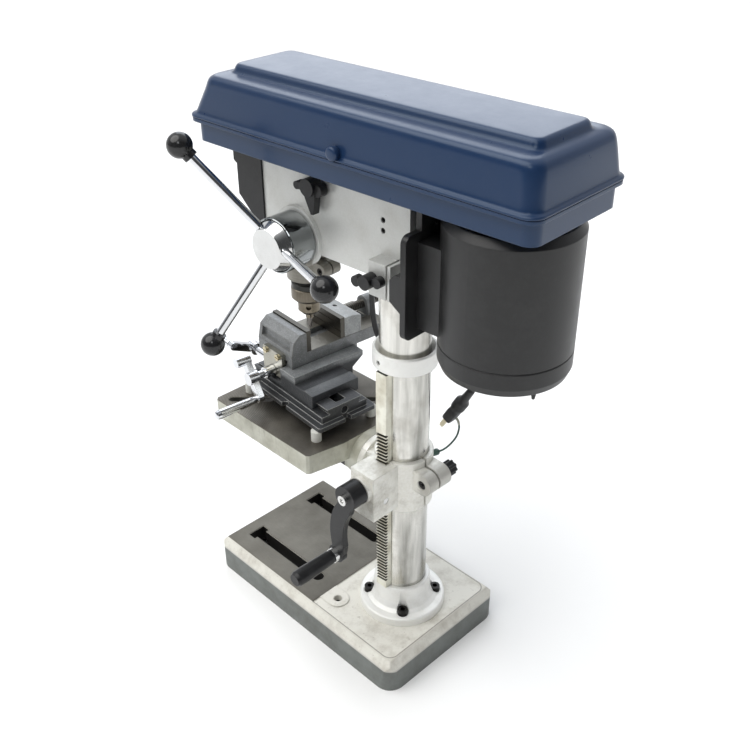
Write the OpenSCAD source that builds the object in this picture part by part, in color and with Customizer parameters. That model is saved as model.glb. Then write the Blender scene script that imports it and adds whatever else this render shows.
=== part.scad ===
// Benchtop drill press with a cross slide vise on its table.
// Millimetres. Origin midway between the two bench bolts, on the bench.
// Feed levers at +X, motor at +Y, operator at -Y, +Z up.

/* [Base] */
// width across the upper edge of the side walls
base_w = 201; // [160:1:260]
// length from front wall to rear wall
base_l = 344; // [300:1:400]
// column axis to rear wall
base_rear = 77; // [70:1:110]
// height of the side walls up to the bevel
base_wall_h = 33.5; // [24:0.5:40]
// height of the ground front deck
base_deck = 46; // [42:0.5:60]
// wall and deck thickness
base_wall = 9; // [6:0.5:11]
// outward draft of the walls at the foot
base_draft = 2; // [0:0.5:5]
// width of the bevel round the deck
base_bevel = 9; // [4:0.5:12]
// corner radius seen from above
base_corner_r = 22; // [10:1:30]
// bench bolt holes left and right of the centre
bench_hole_x = 64; // [50:1:72]
// bench bolts in front of the column axis
bench_hole_y = 56; // [50:1:64]
// radius of a bench bolt hole
bench_hole_r = 5.5; // [4:0.25:7]
// slots left and right of the centre
tslot_x = 54.5; // [40:0.5:60]
// width of a slot
tslot_w = 16; // [9:0.5:18]

/* [Column] */
// outside radius of the column tube
col_r = 30; // [28:0.5:31]
// wall of the column tube
col_wall = 3.5; // [2:0.5:6]
// height of the column top
col_top = 595; // [590:1:680]
// flange radius
flange_r = 55.3; // [50:0.1:60]
// flange bolt circle radius
flange_pcr = 43; // [42:0.5:46]
// running clearance on the column
col_fit = 0.08; // [0.03:0.01:0.1]
// rack width
rack_w = 16; // [12:1:18]
// rack tooth module
rack_m = 1.5; // [1.25:0.25:2]
// slant of the rack teeth in degrees
rack_slant = 7; // [0:1:9]
// bottom of the collar above the rack
collar_z = 408; // [400:1:430]
// collar radius
collar_r = 37.5; // [36:0.5:42]
// collar height
collar_h = 22; // [16:1:28]

/* [Table] */
// top of the table
table_top = 281; // [281:1:300]
// table width
table_w = 178; // [160:1:178]
// table front edge in front of the column axis
table_front = 256; // [252:1:275]
// table rear corners in front of the column axis
table_rear = 74; // [72:1:76]
// depth of the table rim
table_rim = 27; // [20:1:28]
// tilt disc radius
tilt_r = 31; // [28:0.5:32]
// height of the tilt axis
tilt_z = 249.5; // [246:0.5:252]
// outside radius of the sliding sleeve
sleeve_r = 35.5; // [34.5:0.5:38]
// half width of the gear block
block_y = 19; // [18:0.5:22]
// outer face of the gear block from the column axis
block_x = 70; // [68:1:76]
// height of the crank axis
crank_z = 264.5; // [262:0.5:266]
// crank throw
crank_throw = 96; // [80:1:97]
// lean of the crank arm at rest in degrees
crank_lean = 11; // [0:1:30]

/* [Vise] */
// height of the white spacers under the vise
foot_h = 14; // [14:1:18]
// half width of the vise foot plate
vise_hx = 44; // [42:1:48]
// rear length of the vise foot plate from its bolts
vise_hy = 75; // [72:1:78]
// front length of the vise foot plate from its bolts
vise_front = 88; // [80:1:90]
// turn of the vise on the table in degrees
vise_turn = -5; // [-7:0.5:0]
// jaw width
jaw_w = 74; // [70:1:76]
// jaw opening
jaw_open = 47; // [40:1:48]
// height of the jaws over the bed
jaw_h = 29; // [24:1:29]

/* [Head] */
// swing of the head about the column in degrees
head_swing = 2.64; // [-5:0.01:5]
// half width of the head casting
head_hx = 37; // [36.5:0.5:40]
// spindle axis in front of the column axis
throat = 155; // [150:1:158]
// underside of the head casting
head_z = 522.5; // [520:0.5:524]
// underside of the belt pan
pan_z = 627.4; // [626:0.2:634]
// quill radius
quill_r = 21; // [20:0.5:22]
// feed axis above the underside of the head casting
feed_up = 13.9; // [13:0.1:16]
// radius of the feed lever circle at the ball centres
lever_r = 133.2; // [120:0.2:134]
// turn of the feed levers at rest in degrees
lever_turn = 5.2; // [0:0.1:119]
// outward reach of the lever balls from the middle of the head
lever_x = 129.5; // [115:0.5:135]
// ball radius
ball_r = 14; // [12:0.5:16]
// depth ring radius
ring_r = 31.5; // [30:0.5:33]
// drill radius
drill_r = 3; // [2:0.25:4]

/* [Drive] */
// motor axis behind the column axis
motor_y = 133; // [131:1:137]
// motor radius
motor_r = 69; // [66:0.5:71]
// bottom of the motor
motor_z = 456; // [440:1:470]
// half width of the belt pan
pan_hx = 69.5; // [68:0.5:74]
// half width over the lid rim
lid_hx = 76.5; // [75:0.5:80]
// top of the lid
lid_top = 712; // [710:1:722]

/* [Hidden] */
$fn = 64;
stand_y = bench_hole_y;
base_front = base_rear - base_l;
deck_rear = base_deck - 1;
flange_top = deck_rear + 12;
flange_lip = flange_top + 33;
rack_out = col_r + 9;
rack_pitch = rack_out - rack_m;
rack_p = PI * rack_m;
gear_n = round(24 / rack_m / 4) * 4;
gear_r = rack_m * gear_n / 2;
worm_r = 8;
gear_x = rack_pitch + gear_r;
gear_z = crank_z - gear_r - worm_r;
sleeve_z0 = 217;
sleeve_z1 = 288;
clamp_y = 45;
clamp_z = 264;
tilt_y0 = -42;
tilt_y1 = -50.5;
tilt_y2 = -58;
arm_x = block_x + 15;
vise_x = 9;
vise_y = -155;
bolt_at = [-30, 6];
vise_z = table_top + foot_h;
bed_z = 60;
saddle_z = 43;
body_x0 = -134;
body_x1 = 22;
jaw_y = -9 - jaw_w / 2;
plate_x = -8.5;
move_x = plate_x - jaw_open;
screw_y = jaw_y + 2;
screw_z = 30;
base_screw_z = 13;
head_ref = 595;
feed_z = head_z + feed_up;
head_front = -throat - 26;
head_rear = 36;
feed_m = 1.5;
feed_n = 14;
feed_r = feed_m * feed_n / 2;
quill_pitch = -throat + quill_r - 1.7;
feed_y = quill_pitch + feed_r;
feed_p = PI * feed_m;
quill_z0 = 464.5;
quill_z1 = 592;
chuck_z = 416;
drill_tip = 394;
bar_z = 604;
bar_x = 22;
plate_y0 = 53;
plate_y1 = 60;
hook_y = -42;
hook_z = 560;
lead_r = 3.5;
coil_in = 34;
coil_pitch = 7.6;
coil_turns = 4;
coil_x = -54;
coil_z = hook_z + 4.3 + lead_r - coil_in - coil_pitch / 4;
lead_route = [[-64, -201, 559], [-78, -200, 550], [-87, -194, 530], [-86, -182, 508], [-80, -163, 490],
  [-73, -134, 474], [-67, -118, 455], [-65, -112, 434], [-65, -111, 415], [-65, -107, 389],
  [-65, -98, 370], [-66, -84, 350], [-68, -62, 338], [-68, -36, 342], [-66, -14, 365], [-61, 1, 400],
  [-57, 7, 440], [-55, 8, 480]];
tail_route = [[-63, 8, 550], [-68, 14, 567], [-74, 30, 578], [-79, 48, 570], [-81, 58, 548], [-81, 60, 515],
  [-81, 58, 470], [-81, 54, 425], [-80, 48.5, 387]];
plug_at = [-79, 27, 330];
plug_tip = 149;
earth_route = [[-79, 16.4, 297.8], [-79, 19.6, 294.6], [-79, 21.2, 289], [-79, 21, 282], [-79, 18, 271],
  [-79, 11, 258], [-79, 4, 248], [-79, -3, 240], [-79, -9, 235]];
rim_z = 654;
pan_front = -251;
pan_back = 200.7;
belt_z = 667;

lean = atan2(lever_x - 77, lever_r - 14);
hinge_x = -lid_hx - 5.2;

// places things measured from the column axis
module at_stand() { translate([0, stand_y, 0]) children(); }
// places things measured from the column axis on the swung head, which goes up with the column top
module in_head() { at_stand() translate([0, 0, col_top - head_ref]) rotate([0, 0, head_swing]) children(); }
// places things measured from the middle of the vise foot plate
module in_vise() {
  at_stand() translate([vise_x, vise_y, vise_z]) rotate([0, 0, vise_turn]) children();
}
// cylinder along X from x0 to x1
module rod_x(x0, x1, r) { translate([x0, 0, 0]) rotate([0, 90, 0]) cylinder(h = x1 - x0, r = r); }
// cylinder along Y from y0 to y1
module rod_y(y0, y1, r) { translate([0, y0, 0]) rotate([-90, 0, 0]) cylinder(h = y1 - y0, r = r); }
// box from corner a to corner b
module box(a, b) { translate(a) cube(b - a); }
// rectangle with round corners from a to b
module round_rect(a, b, r) {
  translate([a[0] + r, a[1]]) square([b[0] - a[0] - 2 * r, b[1] - a[1]]);
  translate([a[0], a[1] + r]) square([b[0] - a[0], b[1] - a[1] - 2 * r]);
  for (x = [a[0] + r, b[0] - r])
    for (y = [a[1] + r, b[1] - r])
      translate([x, y]) circle(r);
}
// slot with round ends between two points
module slot2(a, b, w) {
  d = b - a;
  translate(a) circle(w / 2);
  translate(b) circle(w / 2);
  translate(a) rotate(atan2(d[1], d[0])) translate([0, -w / 2]) square([norm(d), w]);
}
// profile in y and z pushed along X
module along_x(x0, x1) {
  translate([x0, 0, 0]) rotate([90, 0, 90]) linear_extrude(x1 - x0) children();
}
// profile in x and z pushed along Y
module along_y(y0, y1) {
  translate([0, y1, 0]) rotate([90, 0, 0]) linear_extrude(y1 - y0) children();
}

module base() {
  f = base_front;
  r = base_rear;
  w = base_w / 2;
  d = base_draft;
  v = base_bevel;
  color([0.6, 0.6, 0.56]) at_stand() difference() {
    union() {
      difference() {
        intersection() {
          along_x(-w - 20, w + 20) polygon([[f - d, 0], [r + d, 0], [r, base_wall_h],
            [r - v, base_deck], [f + v, base_deck], [f, base_wall_h]]);
          along_y(f - 20, r + 20) polygon([[-w - d, 0], [w + d, 0], [w, base_wall_h],
            [w - v, base_deck], [v - w, base_deck], [-w, base_wall_h]]);
          linear_extrude(base_deck) round_rect([-w - d, f - d], [w + d, r + d], base_corner_r);
        }
        translate([0, 0, -1]) linear_extrude(base_deck - base_wall - 3)
          round_rect([-w + base_wall, f + base_wall], [w - base_wall, -96], 12);
        translate([0, 0, -1]) linear_extrude(base_deck - base_wall - 3)
          round_rect([-w + base_wall, -88], [w - base_wall, r - base_wall], 12);
      }
      for (s = [-1, 1]) translate([s * bench_hole_x, -bench_hole_y, 0]) cylinder(h = deck_rear - 1, r = 14);
      for (s = [-1, 1]) box([s * tslot_x - tslot_w / 2 - 9, -248, base_deck - 24],
        [s * tslot_x + tslot_w / 2 + 9, -97, base_deck - 4]);
    }
    difference() {
      box([-w - 5, -75, deck_rear], [w + 5, r + 5, base_deck + 1]);
      for (s = [-1, 1]) translate([s * bench_hole_x, -bench_hole_y, 0]) cylinder(h = 60, r = 15);
      for (s = [-1, 1]) box([s * bench_hole_x - 15, -76, 0], [s * bench_hole_x + 15, -bench_hole_y, 60]);
    }
    for (s = [-1, 1]) {
      translate([s * tslot_x, 0, 20]) linear_extrude(40) slot2([0, -231], [0, -106], tslot_w);
      box([s * tslot_x - tslot_w / 2 - 5, -239.5, 20], [s * tslot_x + tslot_w / 2 + 5, -227.5, 60]);
      translate([s * bench_hole_x, -bench_hole_y, -1]) cylinder(h = 60, r = bench_hole_r);
    }
    for (a = [45:90:315]) rotate(a) translate([flange_pcr, 0, 0]) cylinder(h = 60, r = 4.05);
  }
}

module column_flange() {
  color([0.82, 0.82, 0.8]) at_stand() difference() {
    rotate_extrude($fn = 96) polygon([[col_r + 0.03, deck_rear + 0.02], [flange_r, deck_rear + 0.02],
      [flange_r, flange_top - 1.5], [flange_r - 1.5, flange_top], [flange_r - 9, flange_top + 1],
      [flange_r - 14, flange_top + 4], [flange_r - 18, flange_top + 12], [flange_r - 19.5,
        flange_lip - 1.5],
      [flange_r - 21, flange_lip], [col_r + 0.03, flange_lip]]);
    for (a = [45:90:315]) rotate(a) translate([flange_pcr, 0, 0]) {
      translate([0, 0, flange_top - 1]) cylinder(h = 40, r = 7.6);
      cylinder(h = 80, r = 4.3);
    }
  }
}

module flange_bolts() {
  z = flange_top - 1;
  color([0.08, 0.08, 0.08]) at_stand()
    for (a = [45:90:315]) rotate(a) translate([flange_pcr, 0, 0]) difference() {
      union() {
        translate([0, 0, z + 0.02]) cylinder(h = 8, r = 6.5);
        translate([0, 0, 30]) cylinder(h = z - 29, r = 4);
      }
      translate([0, 0, z + 3.5]) cylinder(h = 6, r = 3.5, $fn = 6);
    }
}

module column() {
  color([0.75, 0.75, 0.77]) at_stand() translate([0, 0, deck_rear + 0.02]) difference() {
    cylinder(h = col_top - deck_rear, r = col_r, $fn = 96);
    translate([0, 0, -1]) cylinder(h = col_top, r = col_r - col_wall, $fn = 96);
  }
}

module rack() {
  top = collar_z - 0.5;
  g = rack_p * 0.3;
  color([0.72, 0.7, 0.64]) at_stand() difference() {
    box([col_r - 6, -rack_w / 2, flange_lip + 1], [rack_out, rack_w / 2, top]);
    translate([0, 0, 50]) cylinder(h = 400, r = col_r + 0.35, $fn = 96);
    for (k = [-floor(145 / rack_p):floor(82 / rack_p)])
      translate([rack_pitch, 0, gear_z + k * rack_p]) rotate([rack_slant, 0, 0])
      along_y(-rack_w, rack_w) polygon([[-1.25 * rack_m, -g + rack_m / 2],
        [1.1 * rack_m, -g - 0.4 * rack_m], [1.1 * rack_m, g + 0.4 * rack_m], [-1.25 * rack_m, g - rack_m / 2]]);
  }
}

module rack_collar() {
  color([0.8, 0.8, 0.78]) at_stand() difference() {
    rotate_extrude($fn = 96) polygon([[col_r + 0.03, collar_z], [collar_r - 1, collar_z],
      [collar_r, collar_z + 1], [collar_r, collar_z + collar_h - 1.5],
      [collar_r - 1.5, collar_z + collar_h], [col_r + 4.5, collar_z + collar_h],
      [col_r + 0.03, collar_z + collar_h - 6]]);
    translate([0, 0, collar_z + 10]) rotate(-10) rod_x(20, 50, 3.05);
  }
}

// grub screw along X with its hex socket outward
module grub(x0, x1) {
  difference() {
    rod_x(x0, x1, 3);
    translate([x1 - 3, 0, 0]) rotate([0, 90, 0]) cylinder(h = 5, r = 1.75, $fn = 6);
  }
}

module set_screws() {
  color([0.12, 0.12, 0.12]) {
    at_stand() translate([0, 0, collar_z + 10]) rotate(-10) grub(col_r + 0.1, collar_r - 2);
    for (z = [578, 589.5]) in_head() translate([0, 0, z]) grub(col_r + 0.1, head_hx - 0.8);
    in_head() translate([0, 34 - throat, 485]) difference() {
      union() {
        rod_x(-12, 9, 2.5);
        rod_x(8.05, 12.5, 4.2);
      }
      rotate([0, 90, 0]) translate([0, 0, 10]) cylinder(h = 5, r = 2.2, $fn = 6);
    }
  }
}

module table_bracket() {
  color([0.84, 0.84, 0.82]) at_stand() difference() {
    union() {
      translate([0, 0, sleeve_z0]) cylinder(h = sleeve_z1 - sleeve_z0, r = sleeve_r, $fn = 96);
      box([20, -block_y, sleeve_z0 + 7], [block_x, block_y, sleeve_z1 - 2]);
      translate([0, 0, crank_z]) rod_x(block_x - 1, block_x + 6, 17);
      translate([0, clamp_y, clamp_z]) rod_x(-20, 17, 14);
      box([-20, 20, clamp_z - 14], [17, clamp_y, clamp_z + 14]);
      box([-22, tilt_y1 + 1, sleeve_z0 + 14], [22, -20, sleeve_z1 - 16]);
      translate([0, 0, tilt_z]) rod_y(tilt_y1, tilt_y0, tilt_r);
    }
    translate([0, 0, sleeve_z0 - 1]) cylinder(h = 90, r = col_r + col_fit, $fn = 96);
    box([20, -rack_w / 2 - 0.5, sleeve_z0 - 1], [rack_out + 0.6, rack_w / 2 + 0.5, sleeve_z1 + 1]);
    translate([gear_x, 0, gear_z]) rod_y(-10.5, 10.5, gear_r + 3);
    translate([gear_x, 0, gear_z]) rod_y(-30, 30, 4.05);
    translate([0, 0, crank_z]) rod_x(rack_out - 1, block_x - 6, worm_r + 2.8);
    translate([0, 0, crank_z]) rod_x(rack_out, block_x + 10, 5.05);
    box([-1.5, 20, sleeve_z0 - 1], [1.5, 70, sleeve_z1 + 1]);
    translate([0, clamp_y, clamp_z]) rod_x(-30, 30, 4.2);
    translate([0, clamp_y, clamp_z]) rod_x(12, 30, 6);
    translate([0, 0, tilt_z]) rod_y(-60, -35, 6.05);
    translate([0, 0, tilt_z]) rotate([90, 0, 0]) cylinder(h = 41, r = 11.2, $fn = 6);
  }
}

// gear tooth ring about the Z axis, tooth 0 centred on +X, teeth turned by slant
module teeth(n, m, h, slant, thick) {
  r = m * n / 2;
  w = PI * m * thick / 2;
  for (k = [0:n - 1]) rotate(k * 360 / n) translate([r, 0, 0]) rotate([slant, 0, 0])
    translate([0, 0, -h / 2]) linear_extrude(h)
      polygon([[-m * 1.6, -w - 0.5], [m * 0.9, -w + 0.45], [m * 0.9, w - 0.45], [-m * 1.6, w + 0.5]]);
}

module lift_gear() {
  color([0.55, 0.5, 0.4]) at_stand() translate([gear_x, 0, gear_z]) rotate([90, 0, 0])
    union() {
      rotate(180) teeth(gear_n, rack_m, 14, -rack_slant, 0.36);
      cylinder(h = 16, r = gear_r - 2.5, center = true);
      cylinder(h = 2 * block_y - 1, r = 4, center = true);
    }
}

module worm_shaft() {
  n = 24;
  turns = 2.5;
  x0 = gear_x - rack_p * turns / 2;
  s = rack_p * 0.17;
  t = rack_p * 0.11;
  rings = turns * n;
  pts = [for (k = [0:rings]) let (a = k * 360 / n, x = x0 + k * rack_p / n)
    each [[x - s, 4 * cos(a), 4 * sin(a)], [x + s, 4 * cos(a), 4 * sin(a)],
      [x + t, (worm_r + 1.6) * cos(a), (worm_r + 1.6) * sin(a)],
      [x - t, (worm_r + 1.6) * cos(a), (worm_r + 1.6) * sin(a)]]];
  faces = concat([[0, 1, 2, 3]], [[for (j = [3:-1:0]) rings * 4 + j]],
    [for (k = [0:rings - 1], j = [0:3]) let (a = k * 4 + j, b = k * 4 + (j + 1) % 4)
      each [[a, a + 4, b + 4], [a, b + 4, b]]]);
  color([0.6, 0.6, 0.62]) at_stand() translate([0, 0, crank_z]) union() {
    rod_x(rack_out + 1, block_x + 22.5, 5);
    polyhedron(pts, faces);
  }
}

module crank_arm() {
  l = crank_throw;
  color([0.09, 0.09, 0.09]) at_stand() translate([arm_x, 0, crank_z]) rotate([-crank_lean, 0, 0])
    difference() {
      union() {
        rod_x(-8, 13, 16);
        translate([5.5, 0, 0]) rotate([90, 0, 90]) linear_extrude(7.5) difference() {
          intersection() {
            translate([l * 0.75, -l / 2]) circle(l * 0.75 + 17);
            square([64, 2 * l + 4], center = true);
            translate([-32, -l - 14]) square([64, l + 14]);
          }
          translate([l * 0.75 + 10, -l / 2]) circle(l * 0.75 + 4.5);
          translate([11, -l - 40]) square([40, l + 80]);
        }
        translate([0, 0, -l]) rod_x(5.5, 13, 12);
      }
      rod_x(-30, 8, 5.03);
      rod_x(0, 30, 3.05);
      translate([0, 0, -l]) rod_x(-10, 30, 4.05);
    }
}

module crank_bolts() {
  color([0.8, 0.8, 0.8]) at_stand() translate([arm_x, 0, crank_z]) rotate([-crank_lean, 0, 0]) {
    difference() {
      union() {
        rod_x(13.02, 18, 6.5);
        rod_x(8.3, 14, 3);
      }
      rod_x(15.5, 20, 3);
    }
    translate([0, 0, -crank_throw]) {
      rod_x(6, 75, 4);
      rod_x(13.2, 20.4, 9);
    }
  }
}

module crank_grip() {
  color([0.07, 0.07, 0.07]) at_stand() translate([arm_x, 0, crank_z]) rotate([-crank_lean, 0, 0])
    translate([0, 0, -crank_throw]) rotate([0, 90, 0]) rotate_extrude()
      polygon([[4.08, 20.8], [8.2, 20.8], [9, 25], [9.6, 52], [10, 64], [9.5, 75], [7.5, 79],
        [0, 79], [0, 75.4], [4.08, 75.4]]);
}

module clamp_screw() {
  color([0.1, 0.1, 0.1]) at_stand() translate([0, clamp_y, clamp_z]) difference() {
    union() {
      rod_x(-21, 13, 4);
      rod_x(12.4, 15.4, 5.6);
      rod_x(-25, -20.2, 6);
      rod_x(-37, -24, 7.6);
      for (a = [0:45:315]) rotate([a, 0, 0]) translate([0, 7.6, 0]) rod_x(-36.5, -25, 2);
    }
    rod_x(12, 16, 2.2);
  }
}

module table() {
  w = table_w / 2;
  f = -table_front;
  r = -table_rear;
  cy = (f + r) / 2;
  color([0.45, 0.43, 0.4]) at_stand() difference() {
    union() {
      difference() {
        translate([0, 0, table_top - table_rim]) linear_extrude(table_rim)
          polygon([[-w, f + 4], [4 - w, f], [w - 4, f], [w, f + 4], [w, r - 3], [w - 3, r],
            [38, r + 10], [-38, r + 10], [3 - w, r], [-w, r - 3]]);
        translate([0, 0, table_top - table_rim - 1]) linear_extrude(table_rim - 9)
          round_rect([7 - w, f + 7], [w - 7, r - 7], 8);
      }
      box([-24, r - 20, tilt_z - 18], [24, r + 8, table_top - 8]);
      translate([0, 0, tilt_z]) rod_y(r + 5, tilt_y1 - 0.3, tilt_r);
      for (s = [-1, 1]) box([s * 12 - 3, f + 5, table_top - 22], [s * 12 + 3, r - 5, table_top - 5]);
    }
    for (a = [135:90:315]) translate([0, cy, 200]) rotate(a) linear_extrude(120) slot2([56, 0],
      [104, 0], 11);
    for (y = bolt_at) translate([vise_x, vise_y, 200]) rotate(vise_turn) linear_extrude(120)
      slot2([-56, y], [-34, y], 14);
    translate([0, cy, 200]) cylinder(h = 120, r = 12);
    translate([0, 0, tilt_z]) rod_y(r - 30, -30, 6.05);
    translate([0, 0, tilt_z]) rod_y(r - 40, r - 7.5, 14);
  }
}

module tilt_bolt() {
  color([0.3, 0.3, 0.3]) at_stand() translate([0, 0, tilt_z]) {
    translate([0, -40.9, 0]) rotate([-90, 0, 0]) cylinder(h = 6.5, r = 11, $fn = 6);
    rod_y(-table_rear - 14, -40, 6);
    translate([0, -table_rear - 14.6, 0]) rotate([-90, 0, 0]) cylinder(h = 7, r = 10, $fn = 6);
  }
}

module vise_feet() {
  color([0.92, 0.92, 0.88]) in_vise()
    for (x = [1 - vise_hx, vise_hx - 1], y = [9 - vise_front, vise_hy - 9]) translate([x, y, 0.02 - foot_h])
      cylinder(h = foot_h - 0.04, r = 6.5);
}

module vise_bolts() {
  color([0.35, 0.35, 0.36]) in_vise() for (y = bolt_at) translate([2 - vise_hx, y, 0]) {
    translate([0, 0, -foot_h - 19]) cylinder(h = foot_h + 31, r = 2.9);
    translate([0, 0, 6.02]) cylinder(h = 2, r = 6.8);
    translate([0, 0, 8]) cylinder(h = 5, r = 5.2, $fn = 6);
    translate([0, 0, -foot_h - 11.7]) cylinder(h = 1.6, r = 9.5);
    translate([0, 0, -foot_h - 16.8]) cylinder(h = 5.2, r = 5.2, $fn = 6);
  }
}

module vise_base() {
  f = -vise_front;
  color([0.42, 0.43, 0.45]) in_vise() difference() {
    union() {
      linear_extrude(6) difference() {
        round_rect([-vise_hx, f], [vise_hx, vise_hy], 4);
        slot2([vise_hx - 2, 0], [vise_hx + 9, 0], 9);
        for (y = bolt_at) slot2([2 - vise_hx, y], [-vise_hx - 9, y], 9);
        slot2([0, vise_hy - 4], [0, vise_hy + 9], 9);
        slot2([0, f + 4], [0, f - 9], 9);
      }
      box([-35, f + 7, 0], [35, vise_hy - 7, 15]);
      along_y(f + 7, vise_hy - 7) polygon([[-22, 14], [22, 14], [27, 23], [-27, 23]]);
      box([-13, f + 2, 0], [13, f + 8, 21]);
    }
    box([-7.5, f + 9, 2.5], [7.5, vise_hy - 15, 30]);
    translate([0, 0, base_screw_z]) rod_y(f - 10, vise_hy + 10, 5.05);
    translate([0, 0, -1]) linear_extrude(6) for (s = [-1, 1])
      translate([s * 21, 0]) round_rect([-7, -65], [7, 55], 4);
  }
}

// small crank at the end of a vise screw, axis X, arm toward +Y, grip toward +X
module vise_crank(back, throw, grip) {
  rod_x(0, 14, 8.5);
  along_x(3, 11) slot2([-back, 0], [throw, 0], 11);
  translate([0, -back, 0]) rod_x(2, 22, 6.5);
  translate([0, throw, 0]) {
    rod_x(2, 16, 4);
    translate([14, 0, 0]) rotate([0, 90, 0]) rotate_extrude()
      polygon([[0, 0], [4.5, 0], [5, 4], [6.2, grip - 6], [5.5, grip - 1], [4, grip], [0, grip]]);
  }
}

module base_screw() {
  color([0.2, 0.2, 0.22]) in_vise() translate([0, 0, base_screw_z]) {
    rod_y(-vise_front - 40, vise_hy - 13, 5);
    rod_y(-vise_front - 11, 1.95 - vise_front, 6.8);
    translate([0, -vise_front - 38, 0]) rotate([0, 0, -90]) rotate([24, 0, 0]) vise_crank(16, 36, 32);
  }
}

// neck under the body with a wide carriage toward the column, dovetails above and below
module saddle() {
  c = jaw_y;
  h = jaw_w / 2;
  color([0.42, 0.43, 0.45]) in_vise() difference() {
    union() {
      box([-82, c - h, 15.3], [15, c + h, saddle_z]);
      along_x(-82, 15) translate([c, 0])
        polygon([[-22, saddle_z - 1], [22, saddle_z - 1], [26, saddle_z + 7], [-26, saddle_z + 7]]);
      along_y(c + h - 13, c + h + 18) polygon([[-60, 15.3], [32, 15.3], [32, saddle_z],
        [-77, saddle_z], [-77, 36], [-60, 24]]);
      along_x(-40, 32) polygon([[c + h, 15.3], [c + h + 54, 15.3], [c + h + 54, 32.6],
        [c + h + 38, 34.6], [c + h + 37, 32.6], [c + h, 32.6]]);
      box([22, c - h, 15.3], [32, c + h - 12, 21.5]);
    }
    along_y(c - h - 5, c + h + 60)
      polygon([[-23, 14.9], [23, 14.9], [27.6, 23.4], [-27.6, 23.4]]);
    translate([0, screw_y, screw_z]) rod_x(-90, 40, 5.05);
    along_y(c - h - 5, c + h + 5) polygon([[-90, 14], [-66, 14], [-82.1, 27], [-90, 27]]);
    along_x(-90, 40) polygon([[c - h - 1, 14], [c - h + 6, 14], [c - h - 1, 22]]);
  }
  color([0.42, 0.43, 0.45]) in_vise() difference() {
    box([-6.8, c - 12, 4], [6.8, c + 12, 23.6]);
    translate([0, 0, base_screw_z]) rod_y(-120, 90, 5.05);
  }
}

module saddle_screw() {
  color([0.85, 0.85, 0.87]) in_vise() translate([0, screw_y, screw_z]) {
    rod_x(-80, 57, 5);
    rod_x(body_x1 + 6.5, body_x1 + 20, 7.5);
    translate([53, 0, 0]) rotate([-58, 0, 0]) vise_crank(24, 27, 58);
  }
}

module end_plate() {
  color([0.72, 0.72, 0.7]) in_vise() difference() {
    along_x(body_x1 + 0.05, body_x1 + 6)
      round_rect([screw_y - 21, 23.7], [screw_y + 21, bed_z - 1], 3);
    translate([0, screw_y, screw_z]) rod_x(0, 60, 5.05);
    for (s = [-1, 1]) translate([0, screw_y + s * 13, 54]) rod_x(0, 60, 2.1);
  }
}

module end_screws() {
  color([0.75, 0.65, 0.35]) in_vise() for (s = [-1, 1]) translate([0, screw_y + s * 13, 54]) difference() {
    union() {
      rod_x(body_x1 - 12, body_x1 + 7, 2);
      rod_x(body_x1 + 6.05, body_x1 + 9, 4.2);
    }
    box([body_x1 + 7.8, -6, -0.6], [body_x1 + 12, 6, 0.6]);
  }
}

module vise_body() {
  c = jaw_y;
  h = jaw_w / 2;
  color([0.45, 0.46, 0.48]) in_vise() difference() {
    union() {
      box([body_x0, c - h, saddle_z + 0.3], [body_x1, c + h, bed_z]);
      along_y(c - h, c + h) polygon([[plate_x + 6.6, bed_z - 1], [plate_x + 6.6, bed_z + jaw_h - 2],
        [body_x1 - 14, bed_z + jaw_h - 2], [body_x1 - 4, bed_z + jaw_h - 10], [body_x1, bed_z - 1]]);
      box([body_x0, c - 11, bed_z - 1], [body_x0 + 13, c + 11, bed_z + 15]);
      translate([0, c, bed_z + 15]) rod_x(body_x0, body_x0 + 13, 11);
    }
    along_x(body_x0 - 5, body_x1 + 5) translate([c, 0])
      polygon([[-22.4, saddle_z - 2], [22.4, saddle_z - 2], [26.5, saddle_z + 7.4], [-26.5,
        saddle_z + 7.4]]);
    box([body_x0 + 14, c - 9, bed_z - 7], [plate_x + 4, c + 9, bed_z + 1]);
    along_y(c - h + 6, c + h - 6) polygon([[body_x1 - 8, bed_z + jaw_h - 12], [body_x1 + 5,
      bed_z + jaw_h - 12],
      [body_x1 + 5, bed_z + 5], [body_x1 - 6, bed_z + 5]]);
    translate([0, c, bed_z + 15]) rod_x(body_x0 - 5, body_x0 + 20, 6.05);
    for (s = [-1, 1]) translate([0, screw_y + s * 13, 54]) rod_x(0, 60, 2.03);
    for (s = [-1, 1]) translate([0, c + s * 22, bed_z + 16]) rod_x(plate_x, plate_x + 28, 2.05);
  }
}

module jaw_plate_fixed() {
  color([0.5, 0.5, 0.5]) in_vise() difference() {
    box([plate_x, jaw_y - jaw_w / 2, bed_z + 0.1], [plate_x + 6.5, jaw_y + jaw_w / 2, bed_z + jaw_h]);
    for (z = [10, 20]) box([plate_x - 1, jaw_y - 50, bed_z + z], [plate_x + 0.8, jaw_y + 50,
      bed_z + z + 1.6]);
  }
}

module moving_jaw() {
  c = jaw_y;
  h = jaw_w / 2;
  x = move_x - 6.6;
  color([0.45, 0.46, 0.48]) in_vise() difference() {
    union() {
      along_y(c - h, c + h) polygon([[x, bed_z + 0.3], [x, bed_z + jaw_h - 2], [x - 13, bed_z + jaw_h - 2],
        [x - 27, bed_z + jaw_h - 5], [x - 27, bed_z + 0.3]]);
      box([x - 27, c - 8.7, bed_z - 6.5], [x, c + 8.7, bed_z + 1]);
    }
    translate([0, c, bed_z + 15]) rod_x(x - 40, x - 15, 6.05);
    translate([x - 13, c, bed_z + 14]) cylinder(h = 20, r = 3);
  }
}

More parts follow.
